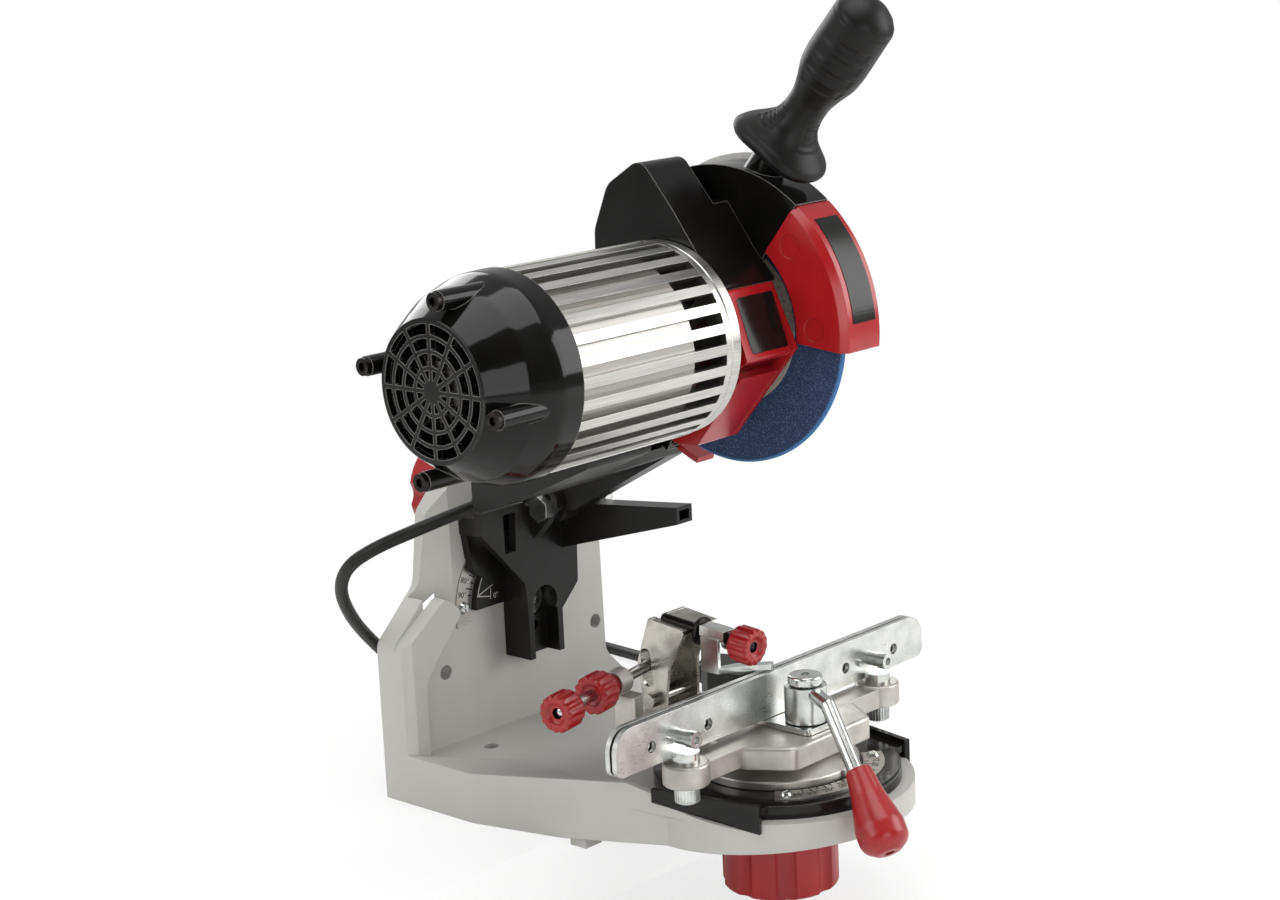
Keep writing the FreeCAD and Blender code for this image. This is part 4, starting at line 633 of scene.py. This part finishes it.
# ---------------------------------------------------------------- handle
def eased(table, step, spread):
    """Evenly stepped (h, r) pairs of a profile, its corners eased by a moving mean."""
    def reach(h):
        for (h0, r0), (h1, r1) in zip(table, table[1:]):
            if h <= h1:
                return r0 + (r1 - r0) * (h - h0) / (h1 - h0)
        return table[-1][1]
    count = int(table[-1][0] / step)
    raw = [reach(k * step) for k in range(count + 1)]
    pairs = []
    for k in range(count + 1):
        near = raw[max(0, k - spread):k + spread + 1]
        pairs.append((k * step, sum(near) / len(near)))
    return pairs


def wrapped(angle, middle, half):
    """Whether an angle in degrees lies within half of the middle, or of the point opposite to it."""
    return abs((angle - middle + 90) % 180 - 90) < half


def handle():
    """Grip with a two-lobed hand stop, ribbed neck, four finger bands and a capped round end."""
    table = [(1.5, 24.0), (4, 26.6), (6.5, 26.9), (9, 24.5), (12, 19.5), (16, 14.8), (21, 11.6), (28, 10.3),
             (36, 10.4), (44, 12.6), (52, 15.4), (60, 16.2), (84.8, 15.9)]
    bands, band_half, band_sink = (49.6, 57.9, 66.2, 74.5), 2.4, 0.55
    rib_low, rib_high, rib_step, rib_sink = 14, 28, 1.05, 0.6
    dome = [(85.4, 15.4), (86.0, 15.9), (88.5, 15.0), (91.5, 12.6), (94.2, 9.0), (96.1, 5.0), (96.9, 1.8)]
    rows = [(r, h) for h, r in eased(table, 0.7, 3) if h >= 1.5]
    profile = [(0, 2.6), (9, 2.6), (20, 1.6)] + rows + [(r, h) for h, r in dome] + [(0, 97)]
    mesh = lathe(profile, 96)
    for v in mesh.verts:
        x, y, h = v.co.x / mm, v.co.y / mm, v.co.z / mm
        r = math.hypot(x, y)
        if r < 0.5:
            continue
        angle = math.degrees(math.atan2(y, x))
        sink = 0.0
        if any(abs(h - band) < band_half for band in bands) and wrapped(angle, 209.5, 48):
            sink = band_sink
        ribbed = wrapped(angle, 150, 24) or wrapped(angle, 266, 24)
        if rib_low < h < rib_high and int(h / rib_step) % 2 and ribbed:
            sink = rib_sink
        waist = 1 - 0.25 * abs(math.cos(math.radians(angle))) ** 3 * max(0.0, min(1.0, (18 - h) / 8))
        scale = (r - sink) / r * waist
        droop = (2.2 * (y / 26) ** 2 + 2.2 * y / 26) * max(0.0, min(1.0, (16 - h) / 8))
        v.co = Vector((x * scale, y * scale, h - droop)) * mm
    foot, lean = (3, -175.7, 351.9), math.radians(41.2)
    axis = Vector((0, -math.sin(lean), math.cos(lean)))
    grip_mesh = laid(mesh, foot, axis.cross(X), axis)
    stud = laid(lathe([(0, -11.5), (3, -11.5), (3, 4), (0, 4)], 24), foot, axis.cross(X), axis)
    made = piece("handle", gathered([grip_mesh, stud]), grip, "head")
    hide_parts("handle_grip")


handle()


# ---------------------------------------------------------------- red knobs of the chain stop
def fluted(radius, length, ribs, hole):
    """Knob about Z: ribbed wall, flat rim, sunk face round the end of its rod."""
    flute = 1.05
    profile = [(hole, 1.6), (radius * 0.52, 1.6), (radius * 0.56, 0.4), (radius * 0.62, 0), (radius - 1.0, 0),
               (radius - 0.25, 0.3), (radius, 1.2), (radius, length * 0.5), (radius, length - 1.2),
               (radius - 0.8, length), (radius * 0.5, length), (hole, length)]
    mesh = lathe(profile, ribs * 6)
    for v in mesh.verts:
        r = math.hypot(v.co.x, v.co.y) / mm
        turn = (math.degrees(math.atan2(v.co.y, v.co.x)) / 360 * ribs + 0.25) % 1
        if r > radius - 0.5 and turn < 0.46:
            v.co.x *= (radius - flute) / radius
            v.co.y *= (radius - flute) / radius
    return mesh


def threaded(radius, length, pitch, depth):
    """Threaded rod about Z, its thread drawn as close rings."""
    count = int(length / pitch)
    profile = [(0, 0), (radius - depth, 0)]
    for k in range(count):
        profile += [(radius, (k + 0.5) * pitch), (radius - depth, (k + 1) * pitch)]
    return lathe(profile + [(radius - depth, length), (0, length)], 24)


def stop_line(t):
    """Point on the axis of the cross rod, t millimetres from its left end."""
    left, right = Vector((-106.9, -115, 80.6)), Vector((-28, -101.5, 81.5))
    return left + (right - left).normalized() * t


def pawl_line(t):
    """Point on the axis of the adjusting screw, t millimetres from its back end."""
    back, front = Vector((-20, -112, 106.5)), Vector((-20, -167, 101.7))
    return back + (front - back).normalized() * t


def stop_knobs():
    """Cross rod and adjusting screw of the chain stop, each with its red knob."""
    cross = stop_line(1) - stop_line(0)
    rod = along(threaded(3.0, 86, 1.0, 0.2), stop_line(-2), cross)
    made = piece("cross_rod", rod, zinc, "stop_rod")
    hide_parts("stop_cross_rod")
    knob = along(fluted(10, 13, 14, 2.9), stop_line(-5), cross)
    piece("cross_rod_knob", knob, knob_red, "stop_rod")
    forth = pawl_line(1) - pawl_line(0)
    screw = gathered([along(threaded(3.0, 61, 1.25, 0.3), pawl_line(-4), forth),
                      along(lathe([(2.8, 0), (7.5, 0), (7.5, 1.5), (2.8, 1.5)], 32), pawl_line(22), forth)])
    made = piece("adjusting_screw", screw, dark_steel, "stop_screw")
    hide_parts("stop_adjust_screw")
    knob = along(fluted(9.7, 12, 14, 2.9), pawl_line(59), -forth)
    piece("adjusting_knob", knob, knob_red, "stop_screw")
    nut = gathered([along(fluted(10.5, 12, 14, 3.05), stop_line(27), cross),
                    along(lathe([(3.05, 0), (6, 0), (6, 7.8), (3.05, 7.8)], 32), stop_line(38.2), cross)])
    made = piece("locking_knob", nut, knob_red, "stop_nut")
    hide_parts("stop_lock_knob")


stop_knobs()


# ---------------------------------------------------------------- small part of the head
def motor_tab():
    """Small pale clip on the front ring of the motor."""
    tab = laid(slab(rounded(5, 9, 1), 3.2, 0.4), (-58.4, -189.6, 253.8), Z, X)
    piece("motor_tab", tab, label_grey, "head")


motor_tab()


# ---------------------------------------------------------------- cord
head_route = [(-85, -40, 173), (-105, -40, 171.4), (-124, -34, 167), (-139, -20, 159.5), (-144, -2, 148),
              (-137, 14, 131), (-127, 22, 120)]
drop_route = [(-127, 22, 120), (-117, 30, 109), (-93, 45, 89), (-68, 57, 69), (-41, 60, 47), (-14, 56, 26),
              (16, 53, 9), (45, 53, 5)]
tail_route = [(89, 92, 5), (88.5, 112, 4), (90.5, 134, 4), (105, 154.5, 4), (130, 162, 4), (155, 154, 4),
              (170, 133, 4), (168, 104, 4), (161, 74, 6), (152.5, 47, 10), (142.7, 21.2, 14)]
coil_centre = (48.0, 94.0)
flex_d = 7.0


def coil_turns():
    """Six turns, two beside each other and three high, from the drop round to the tail."""
    inner, outer, lowest = 37.4, 44.6, 4.0
    turns, per_turn = 6, 16
    points = []
    for k in range(1, turns * per_turn):
        angle = math.radians(-90 + 360 * k / per_turn)
        lap = k / per_turn
        level = min(2, int(lap / 2))
        climb = min(1.0, max(0.0, (lap - 2 * level - 1.7) / 0.3)) if level < 2 else 0.0
        radius = inner if (lap / 2 - level) < 0.45 else outer
        points.append((coil_centre[0] + radius * math.cos(angle), coil_centre[1] + radius * math.sin(angle),
                       lowest + flex_d * (level + climb)))
    return points


def route_line(route):
    """Points along the smooth line of a route, from its NURBS spline, and the flex round that line."""
    data = bpy.data.curves.new("route", "CURVE")
    data.dimensions = "3D"
    data.resolution_u = 12
    line = data.splines.new("NURBS")
    line.points.add(len(route) - 1)
    for point, at in zip(line.points, route):
        point.co = (at[0] * mm, at[1] * mm, at[2] * mm, 1)
    line.order_u = 3
    line.use_endpoint_u = True
    holder = bpy.data.objects.new("route", data)
    bpy.context.scene.collection.objects.link(holder)
    points = [tuple(v.co) for v in solid_of(holder).vertices]
    data.bevel_depth = flex_d / 2 * mm
    data.bevel_resolution = 5
    data.use_fill_caps = True
    tube = solid_of(holder)
    bpy.data.objects.remove(holder)
    return points, tube


def cord_piece(name, route):
    """Flex along a route; returns it, the points of its line and its length in metres."""
    points, tube = route_line(route)
    tube.name = name
    tube.shade_smooth()
    tube.materials.clear()
    tube.materials.append(flex)
    made = bpy.data.objects.new(name, tube)
    bpy.context.scene.collection.objects.link(made)
    length = sum((Vector(a) - Vector(b)).length for a, b in zip(points, points[1:]))
    return made, points, length


upper_cord, upper_line, upper_length = cord_piece("flex_upper", head_route)
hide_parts("cord_head")
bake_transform(upper_cord)

long_route = drop_route + coil_turns() + tail_route
lower_cord, lower_line, lower_length = cord_piece("flex_lower", long_route)
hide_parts("cord_drop", "cord_coil", "cord_tail")
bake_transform(lower_cord)


# ---------------------------------------------------------------- bench and light
def bench():
    """Pale bench with its front edge behind the nose of the tool, and a floor below it.

    Both show the camera more of pure white the further they are from the tool, so that its shadow stays.
    """
    made = bpy.data.materials.new("pale_stage")
    made.use_nodes = True
    tree = made.node_tree
    shader = tree.nodes["Principled BSDF"]
    shader.inputs["Roughness"].default_value = 0.9
    shader.inputs["Specular IOR Level"].default_value = 0.1
    place = put(tree, "TexCoord").outputs["Object"]
    colour(tree, shader, shades(tree, grain(tree, place, 0.4, 2), (0.3, "F4F4F3"), (0.7, "F8F8F7")))
    out = tree.nodes["Material Output"]
    pure = put(tree, "Emission", {"Color": (1, 1, 1, 1), "Strength": 1.0})
    away = put(tree, "VectorMath", {0: place}, operation="LENGTH").outputs["Value"]
    limits = {"Value": away, "From Min": 0.2, "From Max": 0.7, "To Min": 0.74, "To Max": 1.0}
    paler = put(tree, "MapRange", limits).outputs["Result"]
    seen = put(tree, "LightPath").outputs["Is Camera Ray"]
    share = put(tree, "Math", {0: seen, 1: paler}, operation="MULTIPLY")
    both = put(tree, "MixShader", {0: share.outputs[0], 1: shader.outputs["BSDF"], 2: pure.outputs[0]})
    tree.links.new(both.outputs[0], out.inputs["Surface"])
    reach, front_y, floor_z = 30, -0.0875, -0.045
    for name, low, high in (("bench_top", (-reach, front_y, floor_z), (reach, reach, 0.0)),
                            ("floor", (-reach, -reach, floor_z - 0.05), (reach, reach, floor_z))):
        mesh = bmesh.new()
        bmesh.ops.create_cube(mesh, size=1.0)
        for v in mesh.verts:
            v.co = Vector([low[i] if v.co[i] < 0 else high[i] for i in range(3)])
        data = bpy.data.meshes.new(name)
        mesh.to_mesh(data)
        mesh.free()
        data.materials.append(made)
        top = bpy.data.objects.new(name, data)
        bpy.context.scene.collection.objects.link(top)


def studio():
    """White for the camera and through glass, a dim room for reflections, a dim sky, and soft boxes.

    The room is darkest towards the camera's side, which gives the metal its dark reflections.
    """
    world = bpy.data.worlds.new("studio")
    bpy.context.scene.world = world
    world.use_nodes = True
    tree = world.node_tree
    tree.nodes.clear()
    path = put(tree, "LightPath")
    white = put(tree, "Background", {"Color": (1, 1, 1, 1), "Strength": 1.0})
    sky = put(tree, "Background", {"Color": (1, 1, 1, 1), "Strength": 0.38})
    direction = put(tree, "TexCoord").outputs["Generated"]
    links = {0: direction, 1: (-0.62, -0.74, 0.1)}
    front = put(tree, "VectorMath", links, operation="DOT_PRODUCT").outputs["Value"]
    limits = {"Value": front, "From Min": 0.05, "From Max": 0.8, "To Min": 0.55, "To Max": 0.04}
    dark = put(tree, "MapRange", limits).outputs["Result"]
    room = put(tree, "Background", {"Color": (1, 1, 1, 1), "Strength": dark})
    links = {0: path.outputs["Is Camera Ray"], 1: path.outputs["Is Transmission Ray"]}
    seen = put(tree, "Math", links, operation="MAXIMUM")
    lit = put(tree, "MixShader", {0: path.outputs["Is Glossy Ray"], 1: sky.outputs[0], 2: room.outputs[0]})
    both = put(tree, "MixShader", {0: seen.outputs[0], 1: lit.outputs[0], 2: white.outputs[0]})
    put(tree, "OutputWorld", {"Surface": both.outputs[0]})
    aim = Vector((-0.03, -0.09, 0.2))
    for name, at, size, power in (("box_right", (0.95, -1.25, 0.75), 1.0, 14.0),
                                  ("box_left", (-1.5, 0.35, 0.9), 1.1, 11.0),
                                  ("box_top", (-0.1, -0.3, 1.6), 1.2, 14.0),
                                  ("box_back", (0.5, 1.4, 0.9), 1.0, 9.0),
                                  ("box_front", (-0.9, -1.7, 0.5), 0.9, 7.0)):
        data = bpy.data.lights.new(name, "AREA")
        data.shape = "SQUARE"
        data.size = size
        data.energy = power
        lamp = bpy.data.objects.new(name, data)
        lamp.location = at
        lamp.rotation_euler = (aim - Vector(at)).to_track_quat("-Z", "Y").to_euler()
        bpy.context.scene.collection.objects.link(lamp)
    bpy.context.scene.view_settings.view_transform = "Standard"


bench()
studio()
